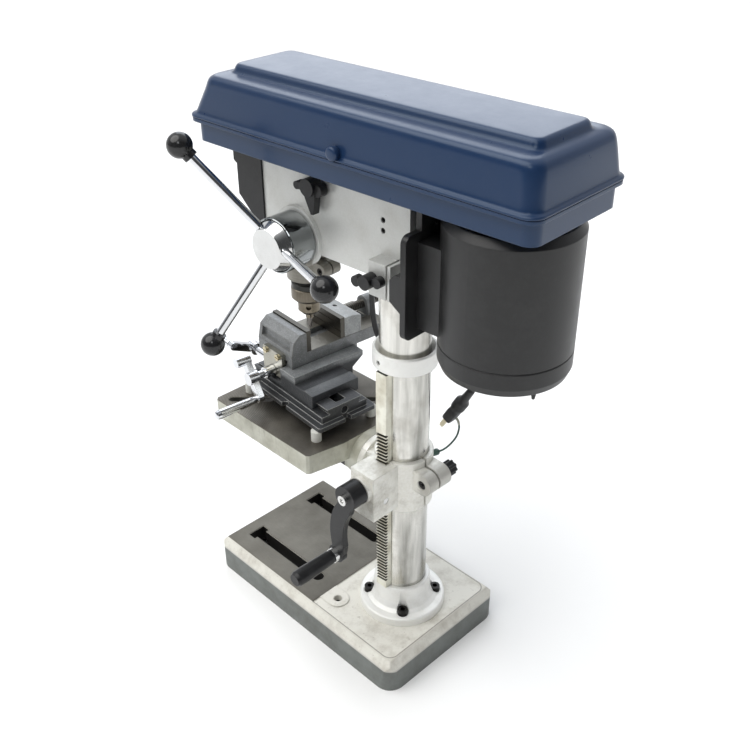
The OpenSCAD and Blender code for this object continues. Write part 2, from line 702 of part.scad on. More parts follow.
module jaw_plate_moving() {
  x = move_x;
  color([0.5, 0.5, 0.5]) in_vise() difference() {
    box([x - 6.5, jaw_y - jaw_w / 2, bed_z + 0.4], [x, jaw_y + jaw_w / 2, bed_z + jaw_h]);
    for (z = [10, 20]) box([x - 0.8, jaw_y - 50, bed_z + z], [x + 1, jaw_y + 50, bed_z + z + 1.6]);
  }
}

module jaw_screw() {
  x = move_x - 22;
  color([0.12, 0.12, 0.12]) in_vise() translate([0, jaw_y, bed_z + 15]) difference() {
    union() {
      rod_x(x - 112, x, 6);
      rod_x(x - 124, x - 110, 9.5);
    }
    translate([x - 117, 0, -20]) cylinder(h = 40, r = 3.55);
  }
}

module jaw_handle() {
  x = move_x - 22 - 117;
  color([0.8, 0.8, 0.82]) in_vise() translate([x, jaw_y, bed_z + 15]) {
    translate([0, 0, -28]) cylinder(h = 56, r = 3.5);
    for (s = [-1, 1]) translate([0, 0, s * 30]) sphere(5.5, $fn = 32);
  }
}

module head_casting() {
  y = -throat;
  color([0.83, 0.83, 0.81]) in_head() difference() {
    union() {
      box([-head_hx, head_front, head_z], [head_hx, head_rear, pan_z - 0.1]);
      translate([0, y, quill_z0 + 1.5]) cylinder(h = head_z - quill_z0, r = 25);
      box([-13, y + 18, 476], [13, y + 34, 494]);
      translate([0, y + 34, 485]) rod_x(-13, 13, 9);
      translate([0, feed_y, feed_z]) rod_x(head_hx - 1, head_hx + 5, 35.5);
      translate([0, feed_y, feed_z]) rod_x(-head_hx - 4, 1 - head_hx, 29);
      box([head_hx - 2, -4, 512], [55, 26, 551]);
      translate([0, hook_y, hook_z]) rod_x(-70, 1 - head_hx, 4);
      translate([0, hook_y, hook_z]) rod_x(-73, -70, 8);
      translate([0, 0, 512]) cylinder(h = 12, r = 37);
    }
    translate([0, 0, 500]) cylinder(h = head_ref - 499.5, r = col_r + 0.03, $fn = 96);
    translate([0, y, quill_z0 - 4]) cylinder(h = quill_z1 - quill_z0 + 5, r = quill_r + 0.06);
    translate([0, y, 590]) cylinder(h = 50, r = 13);
    translate([0, feed_y, feed_z]) rod_x(-60, 60, feed_r + 2);
    box([-30, feed_y + 20, head_z + 9], [30, -39, pan_z + 1]);
    for (z = [578, 589.5]) translate([0, 0, z]) rod_x(25, 50, 3.05);
    for (s = [-1, 1]) translate([s * bar_x, 0, bar_z]) rod_y(-110, 50, 6.06);
    translate([0, -95, bar_z]) rod_x(20, 50, 4.05);
    translate([0, 2, 531]) rod_x(25, 70, 4.05);
    box([-1, y + 15, 460], [1, y + 50, 500]);
    translate([0, y + 34, 485]) rod_x(-20, 20, 2.6);
    translate([0, y + 34, 485]) rod_x(8, 20, 4.4);
    box([20, 19.5, 505], [70, 22, 552]);
  }
}

// winged knob on the X axis, two wings along Y
module wing(x0, l) {
  rod_x(x0, x0 + 14, 8);
  for (s = [-1, 1]) translate([0, s * (l / 2 - 6), 0]) rod_x(x0 + 3, x0 + 11, 6);
  box([x0 + 4, 6 - l / 2, -3.5], [x0 + 10, l / 2 - 6, 3.5]);
}

module head_lock() {
  color([0.08, 0.08, 0.08]) in_head() translate([0, 2, 531]) rotate([13, 0, 0]) {
    rod_x(col_r + 0.2, 60, 4);
    wing(55.4, 42);
  }
}

module switch_box() {
  f = head_front;
  p = [[f - 0.1, 625], [f - 47, 625], [f - 47, 601], [f - 42, 598], [f - 42, 562], [f - 9, 531],
    [f - 0.1, 531]];
  color([0.1, 0.1, 0.1]) in_head() difference() {
    along_x(-39, 39) polygon(p);
    along_x(-36, 36) polygon([[f + 1, 622], [f - 44, 622], [f - 44, 603], [f - 39, 600], [f - 39, 564],
      [f - 8, 534], [f + 1, 534]]);
    for (s = [-1, 1]) translate([s * 15, 0, 580]) rod_y(f - 60, f - 30, 8.6);
    translate([-50, f - 20, 560]) rod_x(0, 20, 4.6);
  }
}

module start_button() {
  color([0.1, 0.5, 0.2]) in_head() translate([-15, 0, 580]) {
    rod_y(head_front - 46, head_front - 38.2, 8);
    rod_y(head_front - 38.3, head_front - 36.5, 9.5);
  }
}

module stop_button() {
  color([0.75, 0.1, 0.1]) in_head() translate([15, 0, 580]) {
    rod_y(head_front - 46, head_front - 38.2, 8);
    rod_y(head_front - 38.3, head_front - 36.5, 9.5);
  }
}

module feed_shaft() {
  color([0.6, 0.6, 0.62]) in_head() translate([0, feed_y, feed_z]) union() {
    rod_x(-58, 80, 7);
    rod_x(-9, 9, feed_r - 1.9);
    rotate([0, -90, 0]) rotate([0, 0, -90]) teeth(feed_n, feed_m, 16, 0, 0.38);
    for (s = [-1, 1]) rod_x(s * 25 - 12, s * 25 + 12, feed_r + 1.94);
  }
}

module depth_ring() {
  x = head_hx + 5.3;
  color([0.7, 0.7, 0.72]) in_head() translate([0, feed_y, feed_z]) difference() {
    rotate([0, 90, 0]) rotate_extrude() polygon([[18.1, x], [ring_r - 1, x], [ring_r, x + 1],
      [ring_r, x + 32.2], [ring_r - 0.6, x + 33], [ring_r - 1.7, x + 33],
      [ring_r - 2.2, x + 26], [18.1, x + 26]]);
    translate([0, 0, 0]) rotate([60, 0, 0]) translate([x + 8, 0, 10]) cylinder(h = 30, r = 2.05);
  }
}

module feed_hub() {
  x = head_hx + 5.3;
  color([0.85, 0.85, 0.86]) in_head() translate([0, feed_y, feed_z]) difference() {
    rotate([0, 90, 0]) rotate_extrude() polygon([[7.04, x + 0.2], [18, x + 0.2], [18, x + 26.3],
      [ring_r - 2.9, x + 26.6], [ring_r - 2.6, x + 32.6], [23.2, x + 44.2], [22.4, x + 45],
      [0, x + 45], [0, 80.2], [7.04, 80.2]]);
    for (k = [0:2]) rotate([lever_turn + k * 120, 0, 0])
      translate([77, 14, 0]) rotate([0, 0, -lean]) rotate([-90, 0, 0]) translate([0, 0,
        -3]) cylinder(h = 40, r = 5.05);
  }
}

module feed_spokes() {
  color([0.88, 0.88, 0.9]) in_head() translate([0, feed_y, feed_z])
    for (k = [0:2]) rotate([lever_turn + k * 120, 0, 0])
      translate([77, 14, 0]) rotate([0, 0, -lean]) rotate([-90, 0, 0]) cylinder(h = 124, r = 5);
}

module feed_knobs() {
  l = (lever_r - 14) / cos(lean);
  color([0.06, 0.06, 0.06]) in_head() translate([0, feed_y, feed_z])
    for (k = [0:2]) rotate([lever_turn + k * 120, 0, 0])
      translate([77, 14, 0]) rotate([0, 0, -lean]) rotate([-90, 0, 0]) difference() {
        union() {
          translate([0, 0, l]) sphere(ball_r);
          translate([0, 0, l - ball_r - 3]) cylinder(h = 8, r = 8);
        }
        cylinder(h = 124.4, r = 5.05);
      }
}

module spring_cap() {
  color([0.15, 0.15, 0.15]) in_head() translate([0, feed_y, feed_z]) difference() {
    rotate([0, 90, 0]) rotate_extrude() polygon([[0, -63], [24, -63], [27, -60], [27, -41.1], [24, -41.1],
      [24, -59], [0, -59]]);
  }
}

module quill() {
  g = feed_p * 0.31;
  color([0.78, 0.78, 0.78]) in_head() difference() {
    translate([0, -throat, quill_z0]) cylinder(h = quill_z1 - quill_z0, r = quill_r, $fn = 96);
    translate([0, -throat, quill_z0 - 1]) cylinder(h = 200, r = 9.05);
    for (k = [-4:10]) translate([0, quill_pitch, feed_z + k * feed_p])
      along_x(-9.5, 9.5) polygon([[-1.9, -g + 0.7], [2.5, -g - 0.9], [2.5, g + 0.9], [-1.9, g - 0.7]]);
    box([-9.5, quill_pitch + 1.5, feed_z - 22], [9.5, 0, feed_z + 55]);
  }
}

module spindle() {
  color([0.7, 0.7, 0.72]) in_head() translate([0, -throat, 0]) {
    translate([0, 0, chuck_z + 28]) cylinder(h = 21, r = 8);
    translate([0, 0, quill_z0 - 1.2]) cylinder(h = 236, r = 9);
    translate([0, 0, quill_z0 - 2.7]) cylinder(h = 2.2, r = 13);
    translate([0, 0, quill_z1 + 0.3]) cylinder(h = 4, r = 11.5);
  }
}

module chuck() {
  color([0.55, 0.5, 0.45]) in_head() translate([0, -throat, 0]) difference() {
    rotate_extrude() polygon([[0, chuck_z], [8.5, chuck_z], [13.5, chuck_z + 5], [13.5, chuck_z + 18.6],
      [16.4, chuck_z + 18.6], [16.4, chuck_z + 37.2], [20.5, chuck_z + 37.2], [20.5, chuck_z + 43],
      [18.5, chuck_z + 45], [0, chuck_z + 45]]);
    translate([0, 0, chuck_z + 27.8]) cylinder(h = 40, r = 8.02);
    translate([0, 0, chuck_z - 1]) cylinder(h = 20, r = 6.6);
    for (a = [43:120:400]) rotate(a) translate([0, 0, chuck_z + 12]) rod_x(9.5, 20, 3.2);
  }
}

module chuck_sleeve() {
  color([0.45, 0.42, 0.38]) in_head() translate([0, -throat, 0]) difference() {
    rotate_extrude($fn = 96) polygon([[16.45, chuck_z + 19], [17.2, chuck_z + 18.9], [21,
      chuck_z + 23], [21, chuck_z + 36],
      [20, chuck_z + 37], [16.45, chuck_z + 37]]);
    for (a = [0:15:345]) rotate(a) translate([15.8, -0.9, chuck_z + 17]) rotate([0, 30,
      0]) cube([8, 1.8, 3]);
  }
}

module chuck_jaws() {
  color([0.5, 0.5, 0.5]) in_head() translate([0, -throat, 0]) difference() {
    intersection() {
      translate([0, 0, chuck_z - 7]) cylinder(h = 24, r1 = 4.6, r2 = 6.5);
      translate([0, 0, chuck_z - 8]) cylinder(h = 40, r = 6.5);
    }
    translate([0, 0, chuck_z - 9]) cylinder(h = 40, r = drill_r + 0.03);
    for (a = [0:120:240]) rotate(a) box([-20, -0.7, chuck_z - 10], [0, 0.7, chuck_z + 40]);
  }
}

module drill_bit() {
  h = 22;
  color([0.2, 0.2, 0.22]) in_head() translate([0, -throat, drill_tip]) union() {
    intersection() {
      linear_extrude(h, twist = -270, slices = 24) difference() {
        circle(drill_r, $fn = 24);
        for (s = [-1, 1]) translate([s * drill_r * 0.95, 0]) circle(drill_r * 0.55, $fn = 16);
      }
      cylinder(h = h, r1 = 0.4, r2 = 13, $fn = 24);
    }
    translate([0, 0, h - 0.5]) cylinder(h = 17, r = drill_r, $fn = 24);
  }
}

pulley_r = [30, 37, 44, 51];
// stepped pulley, step 0 at the bottom
module steps(list, z, bore) {
  difference() {
    union() {
      for (k = [0:3]) translate([0, 0, z + k * 12]) rotate_extrude() polygon([[5, 0], [list[k], 0],
        [list[k], 1.5], [list[k] - 5.5, 4.2], [list[k] - 5.5, 7.8], [list[k], 10.5], [list[k],
          12.01], [5, 12.01]]);
      translate([0, 0, z - 4]) cylinder(h = 8, r = 17);
    }
    translate([0, 0, z - 10]) cylinder(h = 80, r = bore);
  }
}
belt_k = 1;
belt_r1 = pulley_r[3 - belt_k] - 5;
belt_r2 = pulley_r[belt_k] - 5;
pulley_z = 642;

module spindle_pulley() {
  color([0.75, 0.75, 0.76]) in_head() translate([0, -throat, 0])
    steps([for (k = [0:3]) pulley_r[3 - k]], pulley_z, 9.05);
}

module motor_pulley() {
  color([0.75, 0.75, 0.76]) in_head() translate([0, motor_y, 0]) union() {
    steps(pulley_r, pulley_z, 6);
    translate([0, 0, 480]) cylinder(h = 215, r = 7);
    translate([0, 0, 500]) cylinder(h = 80, r = 26);
  }
}

// outline of a belt round both pulleys, grown by g
module loop(g) {
  n = 30;
  a = asin((belt_r1 - belt_r2) / (throat + motor_y));
  ra = belt_r1 + g;
  rb = belt_r2 + g;
  polygon(concat(
    [for (k = [0:n]) let (t = 180 - a + k * (180 + 2 * a) / n) [ra * cos(t), ra * sin(t) - throat]],
    [for (k = [0:n]) let (t = a + k * (180 - 2 * a) / n) [rb * cos(t), rb * sin(t) + motor_y]]));
}

module belt() {
  color([0.1, 0.1, 0.1]) in_head() translate([0, 0, pulley_z + belt_k * 12]) union() {
    translate([0, 0, 2.7]) linear_extrude(6.6) difference() {
      loop(5.5);
      loop(3);
    }
    translate([0, 0, 4]) linear_extrude(4) difference() {
      loop(3.05);
      loop(0.3);
    }
  }
}

module belt_pan() {
  b = pan_hx;
  color([0.1, 0.17, 0.33]) in_head() difference() {
    union() {
      translate([0, 0, pan_z]) linear_extrude(rim_z - pan_z) round_rect([-b, pan_front], [b, pan_back], 13);
      translate([0, 0, rim_z - 4]) linear_extrude(3.8)
        round_rect([-lid_hx, pan_front - 6], [lid_hx, pan_back + 4.4], 16);
      for (y = [-145, 125]) translate([hinge_x, 0, rim_z - 1]) {
        rod_y(y, y + 30, 4.5);
        box([0, y, -3], [8, y + 30, 0.8]);
      }
    }
    translate([0, 0, pan_z + 2]) linear_extrude(60) round_rect([2.5 - b, pan_front + 2.5],
      [b - 2.5, pan_back - 2.5], 11);
    translate([0, -throat, 600]) cylinder(h = 60, r = 14);
    translate([0, 0, 600]) linear_extrude(60) slot2([0, motor_y], [0, motor_y + 14], 19);
  }
  color([0.6, 0.6, 0.6]) in_head() for (y = [-174, 96]) translate([hinge_x, 0, rim_z - 1]) rod_y(y,
    y + 35, 1.5);
}

// one closed ring of points round the lid at half width x, from y0 to y1, corner r, height z
function lid_ring(x, y0, y1, r, z, n = 6) = [for (q = [0:3], k = [0:n]) let (a = q * 90 + k * 90 / n,
  cx = (q == 0 || q == 3) ? x - r : r - x, cy = (q < 2) ? y1 - r : y0 + r)
  [cx + r * cos(a), cy + r * sin(a), z]];
// solid through a list of rings with equal counts
module loft(rings) {
  n = len(rings[0]);
  m = len(rings);
  pts = [for (g = rings) each g];
  faces = concat([[for (j = [0:n - 1]) j]], [[for (j = [n - 1:-1:0]) (m - 1) * n + j]],
    [for (i = [0:m - 2], j = [0:n - 1]) let (a = i * n + j, b = i * n + (j + 1) % n) each [[a,
      a + n, b + n], [a, b + n, b]]]);
  polyhedron(pts, faces);
}

module lid() {
  f = pan_front;
  r = pan_back;
  t = lid_top;
  color([0.1, 0.17, 0.33]) in_head() union() {
    difference() {
      loft([lid_ring(lid_hx, f - 6, r + 4.4, 16, rim_z), lid_ring(lid_hx, f - 6, r + 4.4, 16, rim_z + 3),
        lid_ring(73.5, f - 2, r + 1.5, 16, rim_z + 5), lid_ring(69.5, f + 14, r - 2, 17, t - 24),
        lid_ring(67.5, f + 19, r - 6, 17, t - 14), lid_ring(63, f + 25, r - 11, 15, t - 10.5),
        lid_ring(46, f + 35, r - 17, 12, t - 9.5), lid_ring(42, f + 39, r - 20, 10, t - 1.5),
        lid_ring(39, f + 42, r - 23, 8, t)]);
      loft([lid_ring(70.5, f + 0.5, r - 1, 14, rim_z - 1), lid_ring(70.5, f + 0.5, r - 1, 14, rim_z + 6),
        lid_ring(67, f + 16, r - 4.5, 15, t - 24), lid_ring(65, f + 21.5, r - 8.5, 15, t - 16),
        lid_ring(61, f + 27, r - 13, 13, t - 13), lid_ring(44, f + 37, r - 19, 10, t - 12),
        lid_ring(40, f + 41, r - 22, 8, t - 4), lid_ring(37, f + 44, r - 25, 6, t - 2.5)]);
    }
    for (y = [-174, 96]) translate([hinge_x, y, rim_z - 1]) difference() {
      union() {
        rod_y(0, 28, 4.5);
        box([0, 0, 1.2], [7, 28, 4]);
      }
      rod_y(-1, 30, 1.6);
    }
    translate([0, -29, rim_z + 8]) rod_x(70.5, 82, 7.5);
  }
}

module motor() {
  t = pan_z - 6;
  color([0.07, 0.07, 0.07]) in_head() translate([0, motor_y, 0]) difference() {
    union() {
      rotate_extrude($fn = 96) polygon([[0, motor_z], [motor_r - 12, motor_z], [motor_r - 3.5,
        motor_z + 3.5],
        [motor_r, motor_z + 12], [motor_r, motor_z + 29], [motor_r - 0.8, motor_z + 29.5],
        [motor_r - 0.8, motor_z + 30.5], [motor_r, motor_z + 31], [motor_r, t - 8], [motor_r - 6,
          t], [0, t]]);
      box([-53, plate_y1 - motor_y + 0.03, 494], [53, -40, 588]);
      rotate(64) translate([motor_r - 7, 0, motor_z - 3.5]) cylinder(h = 11, r1 = 1.6, r2 = 3.6, $fn = 24);
    }
    translate([0, 0, 479]) cylinder(h = 220, r = 7.05);
    translate([0, 0, 474]) cylinder(h = t - 484, r = motor_r - 8);
  }
}

module motor_plate() {
  color([0.08, 0.08, 0.08]) in_head() difference() {
    union() {
      along_y(plate_y0, plate_y1) union() {
        round_rect([-71, 484], [71, 598], 9);
        translate([-48, 590]) square([96, 30]);
      }
      for (s = [-1, 1]) along_x(s * 65 - 6, s * 65 + 6)
        polygon([[plate_y0 + 1, 514], [plate_y0 - 14, 524], [plate_y0 - 14, 548], [plate_y0 - 8,
          554], [plate_y0 + 1, 554]]);
    }
    for (s = [-1, 1]) translate([s * bar_x, 0, bar_z]) rod_y(0, 80, 6.03);
  }
}

module slide_bars() {
  color([0.7, 0.7, 0.72]) in_head() for (s = [-1, 1]) translate([s * bar_x, 0, bar_z]) union() {
    rod_y(-108, plate_y1 - 0.5, 6);
    rod_y(plate_y0 - 4, plate_y0 - 0.05, 9);
  }
}

module tension_lock() {
  color([0.08, 0.08, 0.08]) in_head() translate([0, -95, bar_z]) {
    rod_x(bar_x + 6.3, 46, 4);
    rod_x(head_hx + 1, 53, 10);
    rotate([185, 0, 0]) {
      box([42, 5, -4], [51, 17, 4]);
      translate([0, 17, 0]) rod_x(42, 51, 4.5);
    }
    rotate([-10, 0, 0]) {
      box([39, 4, -7], [49, 12, 7]);
      translate([0, 12, 0]) rod_x(39, 49, 7);
    }
    rotate([279, 0, 0]) along_x(41, 50) polygon([[5, -9], [14, -7], [30, -2], [30, 2], [14, 7], [5, 9]]);
  }
}

// unit vector
function unit(v) = v / norm(v);
// smooth curve through points with n steps in each span
function curve(p, n) = concat([for (i = [0:len(p) - 2], k = [0:n - 1]) let (a = p[max(i - 1, 0)], b = p[i],
  c = p[i + 1], d = p[min(i + 2, len(p) - 1)], t = k / n)
  (2 * b + (c - a) * t + (2 * a - 5 * b + 4 * c - d) * t * t + (3 * b - a - 3 * c + d) * t * t * t) / 2],
  [p[len(p) - 1]]);
// directions along a path
function along(p) = [for (i = [0:len(p) - 1]) unit(p[min(i + 1, len(p) - 1)] - p[max(i - 1, 0)])];
// round tube of radius r with s sides along a path
module tube(p, r, s, side = [0, 0, 1]) {
  t = along(p);
  n = len(p);
  u = [for (i = 0, w = unit(side - (side * t[0]) * t[0]); i < n;
    w = unit(w - (w * t[min(i + 1, n - 1)]) * t[min(i + 1, n - 1)]), i = i + 1) w];
  loft([for (i = [0:n - 1]) let (v = cross(t[i], u[i]))
    [for (k = [0:s - 1]) p[i] + r * (cos(k * 360 / s) * u[i] + sin(k * 360 / s) * v)]]);
}
// step from 0 to 1 between a and b
function ease(x, a, b) = let (t = min(1, max(0, (x - a) / (b - a)))) t * t * (3 - 2 * t);
// centre line of the hung coil, two layers, spiralling in and out again
coil_path = [for (k = [0:coil_turns * 24]) let (q = k / 24, h = coil_turns / 2,
  r = coil_in + coil_pitch * abs(q - h))
  [coil_x - coil_pitch * ease(q, h - 0.25, h + 0.25), hook_y + r * cos(q * 360),
    coil_z + r * sin(q * 360)]];
coil_gap = min([for (i = [0:len(coil_path) - 1], j = [i + 12:1:len(coil_path) - 1])
  norm(coil_path[i] - coil_path[j])]) - 2 * lead_r;
coil_length = 2 * PI * coil_turns * (coil_in + coil_pitch * coil_turns / 4);
echo(coil_gap = coil_gap, coil_length = coil_length);

module power_cord() {
  a = coil_path[0];
  b = coil_path[len(coil_path) - 1];
  color([0.06, 0.06, 0.06]) in_head() {
    union() {
      tube(curve(concat([[-36, -201, 560], [-50, -201, 560]], lead_route, [a - [0, 0, 30], a - [0,
        0, 0.8]]), 3),
        lead_r, 10);
      translate([-39.1, head_front - 20, 560]) rotate([0, -90, 0]) cylinder(h = 24, r1 = 6.5,
        r2 = 4.6, $fn = 32);
    }
    tube(curve(concat([b + [0, 0, 0.8], b + [0, 0, 14]], tail_route,
      [for (d = [34, 22, 12]) plug_at + d * [0, sin(plug_tip), -cos(plug_tip)]]), 3), lead_r, 10);
  }
}

module cord_coil() {
  color([0.06, 0.06, 0.06]) in_head() tube(coil_path, lead_r, 6, [1, 0, 0]);
}

module plug() {
  color([0.07, 0.07, 0.07]) in_head() translate(plug_at) rotate([plug_tip, 0, 0]) difference() {
    union() {
      translate([0, 0, -20]) cylinder(h = 21, r1 = 4.8, r2 = 5.6);
      rotate_extrude() polygon([[0, 0], [6, 0], [8.6, 3.5], [9, 8], [9, 20], [8, 24], [0, 24]]);
      translate([0, 0, 23]) linear_extrude(20) round_rect([-9, -7], [9, 7], 3.5);
      for (s = [-1, 1]) translate([s * 6.35 - 0.75, -3.15, 42]) cube([1.5, 6.3, 15]);
    }
    translate([0, 0, -21]) cylinder(h = 10, r = lead_r + 0.3);
    translate([0, 0, 53.5]) rotate([0, 90, 0]) cylinder(h = 40, r = 1.5, center = true);
  }
}

module earth_lead() {
  e = earth_route[len(earth_route) - 1];
  color([0.1, 0.3, 0.22]) in_head() {
    tube(curve(earth_route, 3), 1.25, 8, [1, 0, 0]);
    translate(e + [0, 0.5, 0.4]) rotate([128, 0, 0]) {
      cylinder(h = 4, r1 = 2, r2 = 4.5, $fn = 24);
      translate([0, 0, 3.9]) cylinder(h = 9, r = 4.5, $fn = 24);
    }
  }
}

base();
column_flange();
flange_bolts();
column();
rack();
rack_collar();
set_screws();
table_bracket();
lift_gear();
worm_shaft();
crank_arm();
crank_bolts();
crank_grip();
clamp_screw();
table();
tilt_bolt();
vise_feet();
vise_bolts();
vise_base();
base_screw();
saddle();
saddle_screw();
end_plate();
end_screws();
vise_body();
jaw_plate_fixed();
moving_jaw();
jaw_plate_moving();
jaw_screw();
jaw_handle();
head_casting();
head_lock();
switch_box();
start_button();
stop_button();
feed_shaft();
depth_ring();
feed_hub();
feed_spokes();
feed_knobs();
spring_cap();
quill();
spindle();
chuck();
chuck_sleeve();
chuck_jaws();
drill_bit();
spindle_pulley();
motor_pulley();
belt();
belt_pan();
lid();
motor();
motor_plate();
slide_bars();
tension_lock();
power_cord();
cord_coil();
plug();
earth_lead();
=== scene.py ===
import math
import bpy
import numpy as np
from mathutils import Matrix


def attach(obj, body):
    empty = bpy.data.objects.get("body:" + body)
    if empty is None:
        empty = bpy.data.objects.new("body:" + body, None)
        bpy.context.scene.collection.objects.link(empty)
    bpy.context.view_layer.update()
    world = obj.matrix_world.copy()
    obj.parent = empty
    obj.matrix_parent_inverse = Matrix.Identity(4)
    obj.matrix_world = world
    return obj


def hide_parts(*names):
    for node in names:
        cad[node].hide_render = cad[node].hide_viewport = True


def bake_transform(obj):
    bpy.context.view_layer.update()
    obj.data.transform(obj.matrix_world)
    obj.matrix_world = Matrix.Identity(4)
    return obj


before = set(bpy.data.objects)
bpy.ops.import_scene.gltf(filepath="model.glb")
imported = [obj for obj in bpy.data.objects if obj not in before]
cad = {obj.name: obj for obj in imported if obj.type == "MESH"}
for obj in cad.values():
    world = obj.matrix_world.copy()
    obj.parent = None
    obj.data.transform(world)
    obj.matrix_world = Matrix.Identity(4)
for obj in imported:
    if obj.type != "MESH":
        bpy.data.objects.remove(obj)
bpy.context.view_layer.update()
scene = bpy.context.scene
scene.view_settings.view_transform = "Standard"

# The view: one picture taken from above the motor corner, looking down past the belt cover to the
# base. A plain pale floor and a white room, lit by a ceiling light, a window and a bright wall.
eye = (0.67953, 0.69815, 0.96385)
ahead = np.array([-0.597364, -0.607399, -0.523662])
right = np.array([-0.710895, 0.703282, -0.004793])
up = np.array([-0.371194, -0.369406, 0.851912])
sensor_mm = 36.0
focal_px = 960.66
picture_px = 750.0
lens = bpy.data.cameras.new("picture_lens")
lens.sensor_fit = "HORIZONTAL"
lens.sensor_width = sensor_mm
lens.lens = sensor_mm * focal_px / picture_px
camera = bpy.data.objects.new("picture_camera", lens)
camera.matrix_world = Matrix([[right[i], up[i], -ahead[i], eye[i]] for i in range(3)] + [[0, 0, 0, 1]])
scene.collection.objects.link(camera)
scene.camera = camera


def add(tree, kind, sockets=None, **settings):
    """One shader node. Sockets are plain values, or the outputs of nodes that feed them."""
    n = tree.nodes.new("ShaderNode" + kind)
    for key, value in settings.items():
        setattr(n, key, value)
    for key, value in (sockets or {}).items():
        if isinstance(value, bpy.types.NodeSocket):
            tree.links.new(value, n.inputs[key])
        else:
            n.inputs[key].default_value = value
    return n


room = bpy.data.worlds.new("white_room")
room.use_nodes = True
scene.world = room
tree = room.node_tree
rays = add(tree, "LightPath")
seen = add(tree, "Math", {0: rays.outputs["Is Camera Ray"], 1: rays.outputs["Is Transmission Ray"]},
    operation="MAXIMUM")
sky = tree.nodes["Background"]
sky.inputs["Color"].default_value = (1, 1, 1, 1)
sky.inputs["Strength"].default_value = 1.0
wall_side = add(tree, "VectorMath",
    {0: add(tree, "TexCoord").outputs["Generated"], 1: (-0.62, -0.62, 0.48)}, operation="DOT_PRODUCT")
dim = add(tree, "MapRange", {"Value": wall_side.outputs["Value"], "From Min": -0.35, "From Max": 0.75,
    "To Min": 0.07, "To Max": 0.85}, interpolation_type="SMOOTHSTEP")
glow = add(tree, "Background", {"Color": (0.95, 0.97, 1.0, 1), "Strength": dim.outputs[0]})
both = add(tree, "MixShader", {"Fac": seen.outputs[0]})
tree.links.new(glow.outputs[0], both.inputs[1])
tree.links.new(sky.outputs[0], both.inputs[2])
tree.links.new(both.outputs[0], tree.nodes["World Output"].inputs["Surface"])


def lamp(name, kind, place, target, size, power, tint):
    """A soft lamp at place, facing target. Size is the side of a square lamp in metres, or the angle
    across a far one."""
    data = bpy.data.lights.new(name, kind)
    if kind == "SUN":
        data.angle = size
    else:
        data.size = size
    data.energy = power
    data.color = tint
    o = bpy.data.objects.new(name, data)
    back = np.array(place, float) - np.array(target, float)
    back /= np.linalg.norm(back)
    side = np.cross((0, 0, 1), back)
    side /= np.linalg.norm(side)
    rise = np.cross(back, side)
    o.matrix_world = Matrix([[side[i], rise[i], back[i], place[i]] for i in range(3)] + [[0, 0, 0, 1]])
    scene.collection.objects.link(o)


lamp("ceiling_light", "SUN", (0.75, -0.45, 1.5), (0, 0, 0), 1.1, 2.25, (1.0, 0.99, 0.97))
lamp("window", "AREA", (1.5, 1.2, 2.3), (0, 0.05, 0.5), 0.7, 6, (0.97, 0.99, 1.0))
lamp("bright_wall", "AREA", (-1.35, -1.35, 1.75), (0, 0, 0.6), 1.7, 15, (0.9, 0.96, 1.04))

floor_mesh = bpy.data.meshes.new("floor")
floor_mesh.from_pydata([(-15, -15, 0), (15, -15, 0), (15, 15, 0), (-15, 15, 0)], [], [(0, 1, 2, 3)])
floor = bpy.data.objects.new("floor", floor_mesh)
scene.collection.objects.link(floor)


def blank(name):
    """A new material with its node tree, its shader and the place on the piece, in metres."""
    m = bpy.data.materials.new(name)
    m.use_nodes = True
    t = m.node_tree
    return m, t, t.nodes["Principled BSDF"], add(t, "TexCoord").outputs["Object"]


def noise(t, where, scale, detail, rough=0.5):
    """Cloudy noise between 0 and 1; its largest lumps are about one metre divided by scale across."""
    sockets = {"Vector": where, "Scale": scale, "Detail": detail, "Roughness": rough}
    return add(t, "TexNoise", sockets).outputs["Fac"]


def blend(t, fac, a, b):
    """Colour a where fac is 0, colour b where it is 1."""
    return add(t, "MixRGB", {"Fac": fac, "Color1": a, "Color2": b}).outputs[0]


paper, tree, shader, where = blank("floor_paper")
shade = blend(tree, noise(tree, where, 2.0, 3.0), (0.93, 0.93, 0.925, 1), (0.97, 0.97, 0.965, 1))
tree.links.new(shade, shader.inputs["Base Color"])
shader.inputs["Roughness"].default_value = 0.85
floor_mesh.materials.append(paper)

# The mains lead: a round black rubber flex about seven millimetres thick. It leaves a tapered
# gland on the left of the switch box, droops past the column, hangs as a coil from the hook
# on the head and ends in a moulded two blade plug with a green earth wire.
LEAD_R = 3.5
HEAD_TURN = math.radians(2.64)
COLUMN_Y = 56.0


def on_head(p):
    """Points in millimetres from the column axis, turned with the head, to metres in the row frame."""
    p = np.asarray(p, float)
    c, s = math.cos(HEAD_TURN), math.sin(HEAD_TURN)
    x = c * p[..., 0] - s * p[..., 1]
    y = s * p[..., 0] + c * p[..., 1] + COLUMN_Y
    return np.stack([x, y, p[..., 2]], -1) / 1000.0


def smooth_line(points, steps):
    """A curve through the points: on each span, a cubic whose slope at a point is half the step from
    the point before it to the point after it."""
    p = np.asarray(points, float)
    q = np.concatenate([p[:1], p, p[-1:]])
    a, b, c, d = (q[i:len(p) - 1 + i, None, :] for i in range(4))
    t = (np.arange(steps) / steps)[None, :, None]
    bend = 2 * a - 5 * b + 4 * c - d
    twist = 3 * b - a - 3 * c + d
    spans = (2 * b + (c - a) * t + bend * t ** 2 + twist * t ** 3) / 2
    return np.concatenate([spans.reshape(-1, 3), p[-1:]])


